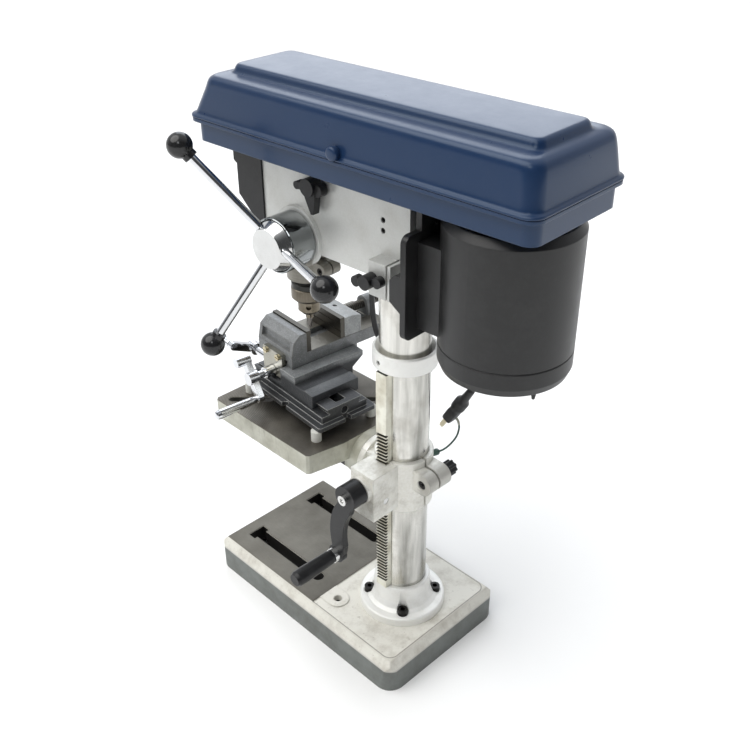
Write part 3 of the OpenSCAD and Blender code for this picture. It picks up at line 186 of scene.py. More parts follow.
def flex(name, line, radius, finish):
    """A round flex along a line of points in the row frame, as one open curve with closed ends."""
    data = bpy.data.curves.new(name, "CURVE")
    data.dimensions = "3D"
    data.bevel_depth = radius
    data.bevel_resolution = 4
    data.use_fill_caps = True
    spline = data.splines.new("POLY")
    spline.points.add(len(line) - 1)
    spline.points.foreach_set("co", np.concatenate([line, np.ones((len(line), 1))], 1).ravel())
    data.materials.append(finish)
    o = bpy.data.objects.new(name, data)
    scene.collection.objects.link(o)
    return o


def between(t, value, low, high, to_low=0.0, to_high=1.0):
    """Value stretched from low..high to the two ends, and held there."""
    sockets = {"Value": value, "From Min": low, "From Max": high, "To Min": to_low, "To Max": to_high}
    return add(t, "MapRange", sockets).outputs[0]


def rubber(name, colour, rough):
    """Dull rubber: colour clouded by wear dust, with a fine moulded grain as bump."""
    m, t, shader, where = blank(name)
    dusty = between(t, noise(t, where, 60.0, 6.0, 0.65), 0.35, 0.75)
    tone = blend(t, dusty, (*colour, 1), (*[0.7 * k + 0.03 for k in colour], 1))
    grain = noise(t, where, 1400.0, 2.0)
    bump = add(t, "Bump", {"Strength": 0.12, "Distance": 0.0004, "Height": grain})
    t.links.new(tone, shader.inputs["Base Color"])
    t.links.new(bump.outputs[0], shader.inputs["Normal"])
    shader.inputs["Roughness"].default_value = rough
    return m


black_rubber = rubber("black_rubber", (0.022, 0.022, 0.024), 0.48)
# The coil: its radius falls by one pitch each turn to the middle and then grows again, and in the
# middle turn the flex crosses to the second layer, which lies beside the first.
coil_turns, coil_steps, coil_in, coil_pitch, coil_x = 4, 24, 34.0, 7.6, -54.0
hook, hook_r = (-42.0, 560.0), 4.3
turn = np.arange(coil_turns * coil_steps + 1) / coil_steps
reach = coil_in + coil_pitch * np.abs(turn - coil_turns / 2)
cross_from, cross_turns = 1.75, 0.5
shift = np.clip((turn - cross_from) / cross_turns, 0, 1)
coil_z = hook[1] + hook_r + LEAD_R - coil_in - coil_pitch / 4
coil = np.stack([coil_x - coil_pitch * shift ** 2 * (3 - 2 * shift),
    hook[0] + reach * np.cos(2 * math.pi * turn), coil_z + reach * np.sin(2 * math.pi * turn)], 1)
lead_route = [[-36, -201, 560], [-50, -201, 560], [-64, -201, 559], [-78, -200, 550], [-87, -194, 530],
    [-86, -182, 508], [-80, -163, 490], [-73, -134, 474], [-67, -118, 455], [-65, -112, 434],
    [-65, -111, 415], [-65, -107, 389], [-65, -98, 370], [-66, -84, 350], [-68, -62, 338],
    [-68, -36, 342], [-66, -14, 365], [-61, 1, 400], [-57, 7, 440], [-55, 8, 480]]
tip = math.radians(149.0)
plug_way = np.array([0.0, -math.sin(tip), math.cos(tip)])
plug_at = np.array([-79.0, 27.0, 330.0])
tail_route = [[-63, 8, 550], [-68, 14, 567], [-74, 30, 578], [-79, 48, 570], [-81, 58, 548],
    [-81, 60, 515], [-81, 58, 470], [-81, 54, 425],
    [-80, 48.5, 387]] + [(plug_at - d * plug_way).tolist() for d in (34, 22, 12)]
lead_in = smooth_line(lead_route + [(coil[0] - [0, 0, 30]).tolist(), coil[0].tolist()], 5)
lead_out = smooth_line([coil[-1].tolist(), (coil[-1] + [0, 0, 14]).tolist()] + tail_route, 5)
lead_line = on_head(np.concatenate([lead_in[:-1], coil, lead_out[1:]]))
mains_lead = flex("mains_lead", lead_line, LEAD_R / 1000, black_rubber)
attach(mains_lead, "stand")
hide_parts("power_cord", "cord_coil")


def shell(name, rings, finish, caps=True, sharp=35.0):
    """A surface through rings of points, an array of rings by points by 3. Each ring is closed on itself,
    neighbouring rings are joined by quads and the two end rings are closed by caps."""
    m, n = rings.shape[:2]
    j = np.arange(n)
    i = np.arange(m - 1)[:, None]
    quads = np.stack([i * n + j, i * n + (j + 1) % n, (i + 1) * n + (j + 1) % n, (i + 1) * n + j],
        -1).reshape(-1, 4)
    faces = quads.tolist()
    if caps:
        faces += [list(range(n - 1, -1, -1)), list(range((m - 1) * n, m * n))]
    mesh = bpy.data.meshes.new(name)
    mesh.from_pydata(rings.reshape(-1, 3).tolist(), [], faces)
    mesh.shade_smooth()
    mesh.set_sharp_from_angle(angle=math.radians(sharp))
    mesh.materials.append(finish)
    o = bpy.data.objects.new(name, mesh)
    scene.collection.objects.link(o)
    return o


def turned(profile, centre, axis, count=40):
    """Rings of a turned piece. Profile is rows of distance along the axis and radius, in millimetres;
    each row becomes a circle round the axis through centre."""
    p = np.asarray(profile, float)
    w = np.asarray(axis, float) / np.linalg.norm(axis)
    u = np.cross(w, (0, 0, 1) if abs(w[2]) < 0.9 else (1, 0, 0))
    u /= np.linalg.norm(u)
    v = np.cross(w, u)
    a = np.arange(count) * 2 * math.pi / count
    ring = np.cos(a)[:, None] * u + np.sin(a)[:, None] * v
    return np.asarray(centre, float) + p[:, :1, None] * w + p[:, 1:2, None] * ring


# The gland's profile: a straight taper with shallow ring grooves every four millimetres.
gland_length, gland_thick, gland_taper, ring_pitch, ring_depth = 24, 6.4, 1.8, 4, 0.45
step = np.linspace(0, gland_length, 49)
grooved = (np.sin(step * 2 * math.pi / ring_pitch) > 0.2) * (step > 3)
gland_profile = np.stack([step, gland_thick - gland_taper * step / gland_length - ring_depth * grooved], 1)
gland_profile = np.concatenate([[[0, 3.6]], gland_profile, [[gland_length, 3.6]]])
gland_rings = turned(gland_profile, (-39.2, -201, 560), (-1, 0, 0))
gland = shell("lead_gland", on_head(gland_rings), black_rubber, sharp=50)
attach(gland, "stand")

# The plug: a moulded black body on a round grip with finger rings, and two flat brass blades. The
# earth wire leaves the body beside the blades. The body's rings are round at the grip and grow square
# towards the blades, as the power of the sine and cosine falls.
u_plug = np.array([1.0, 0, 0])
v_plug = np.cross(plug_way, u_plug)
along = np.array([-20, -19, -9, 0, 1.5, 4, 5, 6.5, 8, 9.5, 11, 12.5, 14, 16, 19, 21, 22.5, 24, 26, 34,
    41, 42.6, 43.0])
half_w = np.array([4.2, 4.7, 5.1, 5.6, 6.6, 8.6, 9.0, 8.3, 9.0, 8.3, 9.0, 8.3, 9.0, 9.0, 8.8, 8.2, 8.0,
    8.4, 9.0, 9.0, 8.7, 8.2, 7.4])
half_d = np.array([4.2, 4.7, 5.1, 5.6, 6.6, 8.6, 9.0, 8.3, 9.0, 8.3, 9.0, 8.3, 9.0, 9.0, 8.6, 7.6, 7.0,
    6.8, 7.0, 7.0, 6.8, 6.3, 5.5])
square = np.clip((along - 21) / 4, 0, 1)
around = np.arange(48) * 2 * math.pi / 48
power = (1 - 0.62 * square)[:, None]
cx = np.sign(np.cos(around)) * np.abs(np.cos(around)) ** power
cy = np.sign(np.sin(around)) * np.abs(np.sin(around)) ** power
rings = plug_at + along[:, None, None] * plug_way
rings = rings + (half_w[:, None] * cx)[..., None] * u_plug + (half_d[:, None] * cy)[..., None] * v_plug
plug_body = shell("plug_body", on_head(rings), black_rubber, sharp=60)
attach(plug_body, "stand")
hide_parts("plug")


def metal(name, colour, rough, streak=(1.0, 1.0, 1.0), streak_scale=60.0, spread=0.12, stain=0.15):
    """Bare metal: tone and roughness vary along stretched noise, the marks left by turning or grinding,
    with larger cloudy stains over them."""
    m, t, shader, where = blank(name)
    drawn = add(t, "Mapping", {"Vector": where, "Scale": streak}).outputs[0]
    marks = noise(t, drawn, streak_scale, 8.0, 0.7)
    stains = between(t, noise(t, where, 28.0, 5.0, 0.6), 0.48, 0.72, 0.0, stain)
    low = (*[k * (1 - spread) for k in colour], 1)
    high = (*[min(1, k * (1 + spread)) for k in colour], 1)
    stained = (colour[0] * 0.42, colour[1] * 0.38, colour[2] * 0.33, 1)
    tone = blend(t, stains, blend(t, marks, low, high), stained)
    dull = between(t, marks, 0.25, 0.75, rough * 0.75, min(1.0, rough * 1.3))
    t.links.new(tone, shader.inputs["Base Color"])
    t.links.new(dull, shader.inputs["Roughness"])
    shader.inputs["Metallic"].default_value = 1.0
    return m


blade_brass = metal("blade_brass", (0.78, 0.72, 0.55), 0.3)
length = np.linspace(42.4, 57, 9)
taper = np.where(length > 55, 0.8, 1.0)
corner = np.array([[-0.75, -3.1], [0.75, -3.1], [0.75, 3.1], [-0.75, 3.1]])
blade_apart = 6.35
for side in (-1, 1):
    rings = plug_at + length[:, None, None] * plug_way
    rings = rings + (side * blade_apart + corner[:, 0] * taper[:, None])[..., None] * u_plug
    rings = rings + (corner[:, 1] * taper[:, None])[..., None] * v_plug
    blade = shell("plug_blade_%s" % ("a" if side < 0 else "b"), on_head(rings), blade_brass, sharp=20)
    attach(blade, "stand")

# The earth wire: a thin dark green wire with a pale root sleeve at the plug, ending in a small
# insulated clip.
earth_green = rubber("earth_green", (0.012, 0.06, 0.045), 0.42)
earth_route = [[-79, 16.4, 297.8], [-79, 19.6, 294.6], [-79, 21.2, 289], [-79, 21, 282], [-79, 18, 271],
               [-79, 11, 258], [-79, 4, 248], [-79, -3, 240], [-79, -9, 235]]
earth_line = on_head(smooth_line(earth_route, 6))
wire_r, sleeve_r = 0.00125, 0.0016
earth_wire = flex("earth_wire", earth_line, wire_r, earth_green)
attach(earth_wire, "stand")
clip_way = np.array([0, -math.sin(math.radians(128)), math.cos(math.radians(128))])
clip_profile = [[0, 1.2], [0.2, 1.9], [4, 4.3], [5, 4.5], [12, 4.5], [12.8, 4.0], [12.9, 3.2], [9, 3.0],
    [9, 0.2]]
earth_clip = shell("earth_clip", on_head(turned(clip_profile, (-79, -8.5, 235.4), clip_way, 28)),
    earth_green)
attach(earth_clip, "stand")
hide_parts("earth_lead")
sleeve_grey = rubber("pale_sleeve", (0.5, 0.5, 0.42), 0.6)
root = smooth_line(earth_route[:4], 6)[:12]
earth_root = flex("earth_root", on_head(root), sleeve_r, sleeve_grey)
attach(earth_root, "stand")

# The base: one iron casting. Its front deck is ground and oiled bare iron with two slots, the rear
# deck, edge and walls keep a thick grey paint, with a painted highlight along the rounded upper edge.


def dress(names, finish):
    """Gives CAD nodes their finish."""
    for n in names.split():
        mesh = cad[n].data
        mesh.materials.clear()
        mesh.materials.append(finish)


def maths(t, kind, a, b=0.0, c=0.0):
    """One step of arithmetic."""
    return add(t, "Math", {0: a, 1: b, 2: c}, operation=kind).outputs[0]


def inset(t, where, centre, half, corner):
    """Distance in metres inside the outline of a rounded rectangle in x and y: positive within it, zero
    on its edge."""
    off = add(t, "VectorMath", {0: where, 1: (*centre, 0)}, operation="SUBTRACT").outputs[0]
    off = add(t, "VectorMath", {0: off}, operation="ABSOLUTE").outputs[0]
    straight = (half[0] - corner, half[1] - corner, 9)
    off = add(t, "VectorMath", {0: off, 1: straight}, operation="SUBTRACT").outputs[0]
    past = add(t, "VectorMath", {0: off, 1: (0, 0, 0)}, operation="MAXIMUM").outputs[0]
    out = add(t, "VectorMath", {0: past}, operation="LENGTH").outputs["Value"]
    parts = add(t, "SeparateXYZ", {0: off})
    into = maths(t, "MINIMUM", maths(t, "MAXIMUM", parts.outputs["X"], parts.outputs["Y"]), 0.0)
    return maths(t, "SUBTRACT", corner, maths(t, "ADD", out, into))


# Where each finish lies: ground iron on the front deck, a darker copy of the grey paint on the walls up to
# the edge at about 33 mm as painted shade, pale paint above it, a groove and a ridge inside the rim with
# painted shade in the groove and a painted highlight on the ridge, and painted shade in the slots and
# holes below the deck.
base_finish, tree, shader, where = blank("base_iron")
xyz = add(tree, "SeparateXYZ", {0: where})
depth_in = inset(tree, where, (0.0, -0.039), (0.1005, 0.172), 0.022)
deck = between(tree, xyz.outputs["Z"], 0.0455, 0.0459)
front_part = between(tree, xyz.outputs["Y"], -0.0189, -0.0191)
ground = maths(tree, "MULTIPLY", deck, front_part)
drawn = add(tree, "Mapping", {"Vector": where, "Scale": (14.0, 1.0, 1.0)}).outputs[0]
marks = noise(tree, drawn, 60.0, 8.0, 0.7)
oil = noise(tree, where, 11.0, 7.0, 0.62)
iron = blend(tree, between(tree, oil, 0.32, 0.7), (0.085, 0.078, 0.064, 1), (0.165, 0.155, 0.132, 1))
iron = add(tree, "MixRGB", {"Fac": 0.25, "Color1": iron, "Color2": marks}, blend_type="OVERLAY").outputs[0]
wear = noise(tree, where, 30.0, 8.0, 0.68)
speck = noise(tree, where, 260.0, 4.0, 0.7)
rear_paint = blend(tree, between(tree, wear, 0.45, 0.74), (0.76, 0.745, 0.68, 1), (0.48, 0.45, 0.385, 1))
rear_paint = blend(tree, between(tree, speck, 0.62, 0.72, 0.0, 0.45), rear_paint, (0.2, 0.16, 0.11, 1))
# Painted shade: the walls below the edge get a darker copy of the grey paint.
wall_paint_shaded = blend(tree, between(tree, wear, 0.4, 0.7), (0.17, 0.185, 0.175, 1), (0.11, 0.115, 0.105, 1))
paint = blend(tree, between(tree, xyz.outputs["Z"], 0.0315, 0.0345), wall_paint_shaded, rear_paint)
# Painted highlight: a pale line along the rounded edge at about 33.5 mm.
crest_highlight = maths(tree, "COMPARE", xyz.outputs["Z"], 0.0335, 0.0011)
paint = blend(tree, maths(tree, "MULTIPLY", crest_highlight, 0.55), paint, (0.62, 0.6, 0.55, 1))
# The groove inside the rim is a bump with painted shade in it; the ridge beside it is a painted highlight.
groove = maths(tree, "COMPARE", depth_in, 0.0098, 0.0008)
ridge_highlight = maths(tree, "COMPARE", depth_in, 0.0082, 0.0009)
paint = blend(tree, maths(tree, "MULTIPLY", groove, 0.6), paint, (0.12, 0.105, 0.085, 1))
paint = blend(tree, maths(tree, "MULTIPLY", ridge_highlight, 0.45), paint, (0.66, 0.64, 0.58, 1))
tone = blend(tree, ground, paint, iron)
# Painted shade: below the deck, inside the slots and bolt holes, the iron is painted near black.
painted_shade = maths(tree, "MULTIPLY", between(tree, xyz.outputs["Z"], 0.0452, 0.0448),
    between(tree, depth_in, 0.0125, 0.0135))
bolt_hole = between(tree, xyz.outputs["Z"], 0.0375, 0.037)
painted_shade = maths(tree, "MULTIPLY", painted_shade, maths(tree, "MAXIMUM", front_part, bolt_hole))
tone = blend(tree, painted_shade, tone, (0.012, 0.011, 0.01, 1))
lit = maths(tree, "SUBTRACT", ground, painted_shade)
bare = between(tree, lit, 0.0, 1.0, 0.0, 0.75)
rough = blend(tree, ground, (0.46, 0.46, 0.46, 1), between(tree, marks, 0.3, 0.7, 0.36, 0.5))
cast = noise(tree, where, 420.0, 3.0)
edges = add(tree, "Bevel", {"Radius": 0.003}, samples=6)
rim_line = add(tree, "Bump", {"Strength": 0.6, "Distance": 0.0008,
    "Height": maths(tree, "SUBTRACT", 1.0, groove), "Normal": edges.outputs[0]})
cast_bump = add(tree, "Bump", {"Strength": 0.2, "Distance": 0.0006, "Height": cast,
    "Normal": rim_line.outputs[0]})
tree.links.new(tone, shader.inputs["Base Color"])
tree.links.new(rough, shader.inputs["Roughness"])
tree.links.new(bare, shader.inputs["Metallic"])
tree.links.new(cast_bump.outputs[0], shader.inputs["Normal"])
dress("base", base_finish)

# The column: a drawn steel tube, turned and polished, with rubbed bands where sleeve and collar sit.
# It stands in a silver painted cast flange held by four black socket head screws.


def over(finish, fac, colour):
    """Lays another colour over a finish: its own tone where fac is 0, the new one where it is 1."""
    t = finish.node_tree
    tone = t.nodes["Principled BSDF"].inputs["Base Color"]
    t.links.new(blend(t, fac, tone.links[0].from_socket, colour), tone)


column_steel = metal("column_steel", (0.74, 0.73, 0.69), 0.2, streak=(1, 1, 0.05), streak_scale=150.0,
    spread=0.3, stain=0.5)
tree = column_steel.node_tree
where = add(tree, "TexCoord").outputs["Object"]
lengthwise = add(tree, "Mapping", {"Vector": where, "Location": (0.021, 0.0, 0.0), "Scale": (1, 1, 0.12)})
bands = noise(tree, lengthwise.outputs[0], 62.0, 3.0, 0.55)
# Dark lengthwise streaks, and a painted shade that darkens the side of the column facing the motor.
from_axis = add(tree, "VectorMath", {0: where, 1: (0.0, COLUMN_Y / 1000, 0.0)}, operation="SUBTRACT")
shaded_side = add(tree, "VectorMath", {0: from_axis.outputs[0], 1: (-2.5, 33.0, 0.0)},
    operation="DOT_PRODUCT").outputs["Value"]
streaks_and_shade = maths(tree, "MULTIPLY_ADD", bands, 1.7, maths(tree, "MULTIPLY_ADD", shaded_side, 0.45, -0.75))
over(column_steel, between(tree, streaks_and_shade, 0.12, 0.85, 0.0, 0.85), (0.15, 0.15, 0.135, 1))
dress("column", column_steel)


def silver_paint(name, colour, rough, grain, depth, wear, wear_tone=(0.4, 0.38, 0.33), metallic=0.35,
    round_edge=0.0012, mottle=0.12):
    """Silver paint over a sand casting: a clouded tone with rubbed dull patches, cast grain as bump and
    rounded edges that catch the light."""
    m, t, shader, where = blank(name)
    cloud = noise(t, where, 26.0, 7.0, 0.62)
    fine = noise(t, where, grain, 3.0, 0.6)
    rubbed = blend(t, between(t, cloud, 0.5, 0.78, 0.0, wear), (*colour, 1), (*wear_tone, 1))
    speck = add(t, "MixRGB", {"Fac": mottle, "Color1": rubbed, "Color2": fine}, blend_type="OVERLAY")
    dull = between(t, cloud, 0.3, 0.7, rough * 0.85, min(1.0, rough * 1.2))
    soft = add(t, "Bevel", {"Radius": round_edge}, samples=4)
    bumped = add(t, "Bump", {"Strength": 0.3, "Distance": depth, "Height": fine, "Normal": soft.outputs[0]})
    t.links.new(speck.outputs[0], shader.inputs["Base Color"])
    t.links.new(dull, shader.inputs["Roughness"])
    t.links.new(bumped.outputs[0], shader.inputs["Normal"])
    shader.inputs["Metallic"].default_value = metallic
    return m


flange_silver = silver_paint("flange_silver", (0.93, 0.93, 0.9), 0.42, grain=320.0, depth=0.0008,
    wear=0.3, metallic=0.2, mottle=0.3)
dress("column_flange rack_collar", flange_silver)
black_oxide = metal("black_oxide", (0.035, 0.034, 0.033), 0.38)
dress("flange_bolts set_screws vise_bolts tilt_bolt", black_oxide)

# The table rack: a milled steel bar with pale plating, its slanted teeth coloured dark. It stands
# against the column between flange and collar, and swings round the column with the table.
rack_plate, tree, shader, where = blank("rack_plating")
outer = between(tree, add(tree, "SeparateXYZ", {0: where}).outputs["X"], 0.0382, 0.0389)
facing = add(tree, "SeparateXYZ", {0: add(tree, "NewGeometry").outputs["Normal"]})
flank = maths(tree, "GREATER_THAN", maths(tree, "ABSOLUTE", facing.outputs["Y"]), 0.5)
plated = maths(tree, "MAXIMUM", outer, flank)
pale = add(tree, "ValToRGB", {"Fac": noise(tree, where, 45.0, 6.0)})
pale.color_ramp.elements[0].color = (0.58, 0.54, 0.42, 1)
pale.color_ramp.elements[0].position = 0.3
pale.color_ramp.elements[1].color = (0.92, 0.91, 0.8, 1)
pale.color_ramp.elements[1].position = 0.6
tone = blend(tree, plated, (0.05, 0.045, 0.035, 1), pale.outputs[0])
tree.links.new(tone, shader.inputs["Base Color"])
shader.inputs["Metallic"].default_value = 0.2
shader.inputs["Roughness"].default_value = 0.36
dress("rack", rack_plate)

# The table bracket: a silver painted casting that slides on the column, clamped by a pinch screw.
# Inside it a steel gear climbs the rack, driven by a worm.
bracket_silver = silver_paint("bracket_silver", (0.8, 0.79, 0.735), 0.36, grain=300.0, depth=0.0009,
    wear_tone=(0.34, 0.32, 0.265), wear=0.75, metallic=0.3, round_edge=0.002, mottle=0.45)
tree = bracket_silver.node_tree
across = add(tree, "SeparateXYZ", {0: add(tree, "TexCoord").outputs["Object"]}).outputs["Y"]
lug = between(tree, across, 0.094, 0.1)
over(bracket_silver, maths(tree, "MULTIPLY", lug, 0.7), (0.42, 0.41, 0.375, 1))
dress("table_bracket", bracket_silver)
bright_steel = metal("bright_steel", (0.68, 0.68, 0.67), 0.22)
dress("lift_gear worm_shaft crank_bolts", bright_steel)


def moulding(name, colour, rough, scuff, grain=900.0, depth=0.0003, round_edge=0.0008):
    """Moulded plastic or thick satin paint: even colour with faint scuffs, a fine grain as bump and
    softened edges."""
    m, t, shader, where = blank(name)
    cloud = noise(t, where, 40.0, 8.0, 0.7)
    fine = noise(t, where, grain, 2.0)
    tone = blend(t, between(t, cloud, 0.45, 0.8), (*colour, 1), (*[k + scuff for k in colour], 1))
    dull = between(t, cloud, 0.3, 0.7, rough * 0.9, min(1.0, rough * 1.15))
    soft = add(t, "Bevel", {"Radius": round_edge}, samples=4)
    bumped = add(t, "Bump", {"Strength": 0.2, "Distance": depth, "Height": fine, "Normal": soft.outputs[0]})
    t.links.new(tone, shader.inputs["Base Color"])
    t.links.new(dull, shader.inputs["Roughness"])
    t.links.new(bumped.outputs[0], shader.inputs["Normal"])
    return m


black_plastic = moulding("black_plastic", (0.012, 0.012, 0.013), 0.36, scuff=0.014)
black_plastic.node_tree.nodes["Principled BSDF"].inputs["Specular IOR Level"].default_value = 0.32
dress("crank_grip clamp_screw crank_arm head_lock tension_lock", black_plastic)

# The table: a cast plate with a ground top, slots and painted sides, hung on its tilt disc. The top
# keeps the ring marks of the facing tool, and its slots are painted dark as shade.
table_finish, tree, shader, where = blank("table_iron")
z = add(tree, "SeparateXYZ", {0: where}).outputs["Z"]
depth_in = inset(tree, where, (0.0, -0.109), (0.089, 0.091), 0.004)
top = between(tree, z, 0.2805, 0.2809)
ringed = add(tree, "Mapping", {"Vector": where, "Location": (0.0, 0.109, 0.0)}).outputs[0]
ring_marks = add(tree, "TexWave", {"Vector": ringed, "Scale": 160.0, "Distortion": 1.5, "Detail": 3.0},
    wave_type="RINGS", rings_direction="Z")
oil = noise(tree, where, 18.0, 6.0, 0.62)
iron = blend(tree, between(tree, oil, 0.32, 0.72), (0.075, 0.068, 0.055, 1), (0.185, 0.17, 0.145, 1))
iron = add(tree, "MixRGB", {"Fac": 0.34, "Color1": iron, "Color2": ring_marks.outputs["Color"]},
    blend_type="OVERLAY").outputs[0]
wear = noise(tree, where, 30.0, 7.0, 0.65)
drawn = add(tree, "Mapping", {"Vector": where, "Scale": (6.0, 6.0, 1.0)}).outputs[0]
streak = noise(tree, drawn, 26.0, 8.0, 0.75)
paint = blend(tree, between(tree, wear, 0.4, 0.7), (0.56, 0.56, 0.48, 1), (0.36, 0.35, 0.28, 1))
paint = blend(tree, between(tree, streak, 0.55, 0.75, 0.0, 0.6), paint, (0.17, 0.155, 0.12, 1))
tone = blend(tree, top, paint, iron)
# Painted shade: inside the slots, below the top, the iron is painted near black.
painted_shade = maths(tree, "MULTIPLY", between(tree, z, 0.2804, 0.28), between(tree, depth_in, 0.005, 0.006))
tone = blend(tree, painted_shade, tone, (0.03, 0.028, 0.024, 1))
cast = noise(tree, where, 420.0, 3.0)
soft = add(tree, "Bevel", {"Radius": 0.0015}, samples=4)
bump = add(tree, "Bump", {"Strength": 0.22, "Distance": 0.0006, "Height": cast, "Normal": soft.outputs[0]})
tree.links.new(tone, shader.inputs["Base Color"])
tree.links.new(maths(tree, "MULTIPLY", top, 0.7), shader.inputs["Metallic"])
tree.links.new(bump.outputs[0], shader.inputs["Normal"])
shader.inputs["Roughness"].default_value = 0.4
dress("table", table_finish)

# The vise: iron castings in grey hammered paint, the lower slides near black, the saddle painted darker
# towards its carriage as shade, on four white spacers. Screws end in plated cranks; the jaws carry dark
# hardened plates.


def hammered(name, colour, machined, beds, edge_wear):
    """Hammered paint: small rounded dimples as bump, worn to bare iron along the edges. Beds is a list of
    heights of the flat milled faces, which stay bare."""
    m, t, shader, where = blank(name)
    dimple = add(t, "TexVoronoi", {"Vector": where, "Scale": 380.0, "Smoothness": 1.0}, feature="SMOOTH_F1")
    cloud = between(t, noise(t, where, 55.0, 7.0, 0.65), 0.3, 0.75)
    fleck = between(t, noise(t, where, 750.0, 2.0), 0.5, 0.75, 0.0, 0.55)
    painted = blend(t, cloud, (*[k * 0.72 for k in colour], 1), (*[k * 1.25 for k in colour], 1))
    painted = blend(t, fleck, painted, (*[k * 2.0 for k in colour], 1))
    soft = add(t, "Bevel", {"Radius": 0.0016}, samples=6).outputs[0]
    flat = add(t, "NewGeometry").outputs["Normal"]
    turned_away = add(t, "VectorMath", {0: soft, 1: flat}, operation="DOT_PRODUCT").outputs["Value"]
    mask = between(t, turned_away, 0.99, 0.88, 0.0, edge_wear)
    z = add(t, "SeparateXYZ", {0: where}).outputs["Z"]
    level = between(t, add(t, "SeparateXYZ", {0: flat}).outputs["Z"], 0.9, 0.99)
    for h in beds:
        on_bed = maths(t, "MULTIPLY", maths(t, "COMPARE", z, h, 0.0006), level)
        mask = maths(t, "MAXIMUM", mask, on_bed)
    dent = add(t, "Bump", {"Strength": 0.4, "Distance": 0.0008, "Height": dimple.outputs["Distance"],
        "Normal": soft})
    t.links.new(blend(t, mask, painted, (*machined, 1)), shader.inputs["Base Color"])
    t.links.new(maths(t, "MULTIPLY_ADD", mask, 0.65, 0.2), shader.inputs["Metallic"])
    t.links.new(dent.outputs[0], shader.inputs["Normal"])
    shader.inputs["Roughness"].default_value = 0.4
    return m


body_paint = hammered("body_paint", (0.19, 0.197, 0.2), (0.2, 0.19, 0.165), [0.355], 0.6)
dress("vise_body", body_paint)
jaw_paint = hammered("jaw_paint", (0.3, 0.31, 0.31), (0.4, 0.4, 0.38), [], 0.6)
dress("moving_jaw", jaw_paint)
slide_paint = hammered("slide_paint", (0.045, 0.047, 0.05), (0.5, 0.5, 0.48), [], 0.8)
dress("vise_base", slide_paint)
saddle_paint = hammered("saddle_paint", (0.25, 0.26, 0.265), (0.5, 0.5, 0.48), [], 0.6)
tree = saddle_paint.node_tree
# Painted shade: the saddle darkens to near black below the slide, over its carriage.
height = add(tree, "SeparateXYZ", {0: add(tree, "TexCoord").outputs["Object"]}).outputs["Z"]
carriage_shade = between(tree, height, 0.3335, 0.3275)
over(saddle_paint, maths(tree, "MULTIPLY", carriage_shade, 0.86), (0.02, 0.022, 0.026, 1))
dress("saddle", saddle_paint)
jaw_steel = metal("jaw_steel", (0.085, 0.08, 0.07), 0.36, streak=(1, 1, 10), streak_scale=90.0)
dress("jaw_plate_fixed jaw_plate_moving", jaw_steel)
chrome = metal("chrome", (0.74, 0.75, 0.77), 0.1, spread=0.05, stain=0.12)
dress("saddle_screw base_screw jaw_handle feed_spokes", chrome)
# Painted shade: the end plate's steel is a darker copy of the bright steel.
plate_steel_shaded = metal("plate_steel_shaded", (0.4, 0.39, 0.34), 0.3, stain=0.4)
dress("end_plate", plate_steel_shaded)
thread_steel = metal("thread_steel", (0.2, 0.19, 0.17), 0.3)
tree = thread_steel.node_tree
slope = add(tree, "Mapping", {"Vector": add(tree, "TexCoord").outputs["Object"],
    "Rotation": (0, 0, math.radians(5.0))}).outputs[0]
ridges = add(tree, "TexWave", {"Vector": slope, "Scale": 105.0}, wave_profile="SIN", bands_direction="X")
cut = add(tree, "Bump", {"Strength": 1.0, "Distance": 0.0012, "Height": ridges.outputs["Fac"]})
tree.links.new(cut.outputs[0], tree.nodes["Principled BSDF"].inputs["Normal"])
# Painted shade: the roots between the thread's bumped ridges are darkened.
over(thread_steel, between(tree, ridges.outputs["Fac"], 0.62, 0.4), (0.012, 0.011, 0.01, 1))
dress("jaw_screw", thread_steel)
plated_brass = metal("plated_brass", (0.55, 0.49, 0.34), 0.26)
dress("end_screws", plated_brass)
white_plastic = moulding("white_plastic", (0.8, 0.8, 0.75), 0.45, scuff=-0.1)
dress("vise_feet", white_plastic)

# The head: a silver painted casting machined flat on both sides, clamped on top of the column. It carries
# the quill, the feed shaft, the switch box and the motor's slide bars.
head_silver = silver_paint("head_silver", (0.6, 0.605, 0.585), 0.36, grain=500.0, depth=0.0003, wear=0.3)
tree = head_silver.node_tree
where = add(tree, "TexCoord").outputs["Object"]
xyz = add(tree, "SeparateXYZ", {0: where})
barrel = maths(tree, "MULTIPLY", between(tree, xyz.outputs["Z"], 0.5222, 0.5212),
    between(tree, xyz.outputs["Y"], -0.04, -0.045))
drawn = add(tree, "Mapping", {"Vector": where, "Scale": (1, 1, 9)}).outputs[0]
machined = noise(tree, drawn, 70.0, 6.0, 0.7)
barrel_tone = blend(tree, machined, (0.12, 0.11, 0.09, 1), (0.34, 0.325, 0.285, 1))
over(head_silver, barrel, barrel_tone)
dress("head_casting", head_silver)
dress("switch_box spring_cap", black_plastic)
green_button = moulding("green_button", (0.03, 0.22, 0.07), 0.3, scuff=0.02)
red_button = moulding("red_button", (0.42, 0.025, 0.02), 0.3, scuff=0.02)
dress("start_button", green_button)
dress("stop_button", red_button)

# The feed: a turned steel hub with a whitish machined face, three plated spokes with black ball knobs,
# and a polished depth ring behind the hub.
hub_steel = metal("hub_steel", (0.7, 0.705, 0.7), 0.14, streak=(12, 1, 1), streak_scale=90.0,
    spread=0.1, stain=0.12)
dress("feed_hub feed_shaft", hub_steel)
ring_steel = metal("ring_steel", (0.3, 0.315, 0.32), 0.13, streak=(12, 1, 1), streak_scale=90.0,
    spread=0.1, stain=0.05)
dress("depth_ring", ring_steel)
ball_black = moulding("ball_black", (0.016, 0.016, 0.017), 0.14, grain=200.0, depth=0.0001, scuff=0.01)
dress("feed_knobs", ball_black)

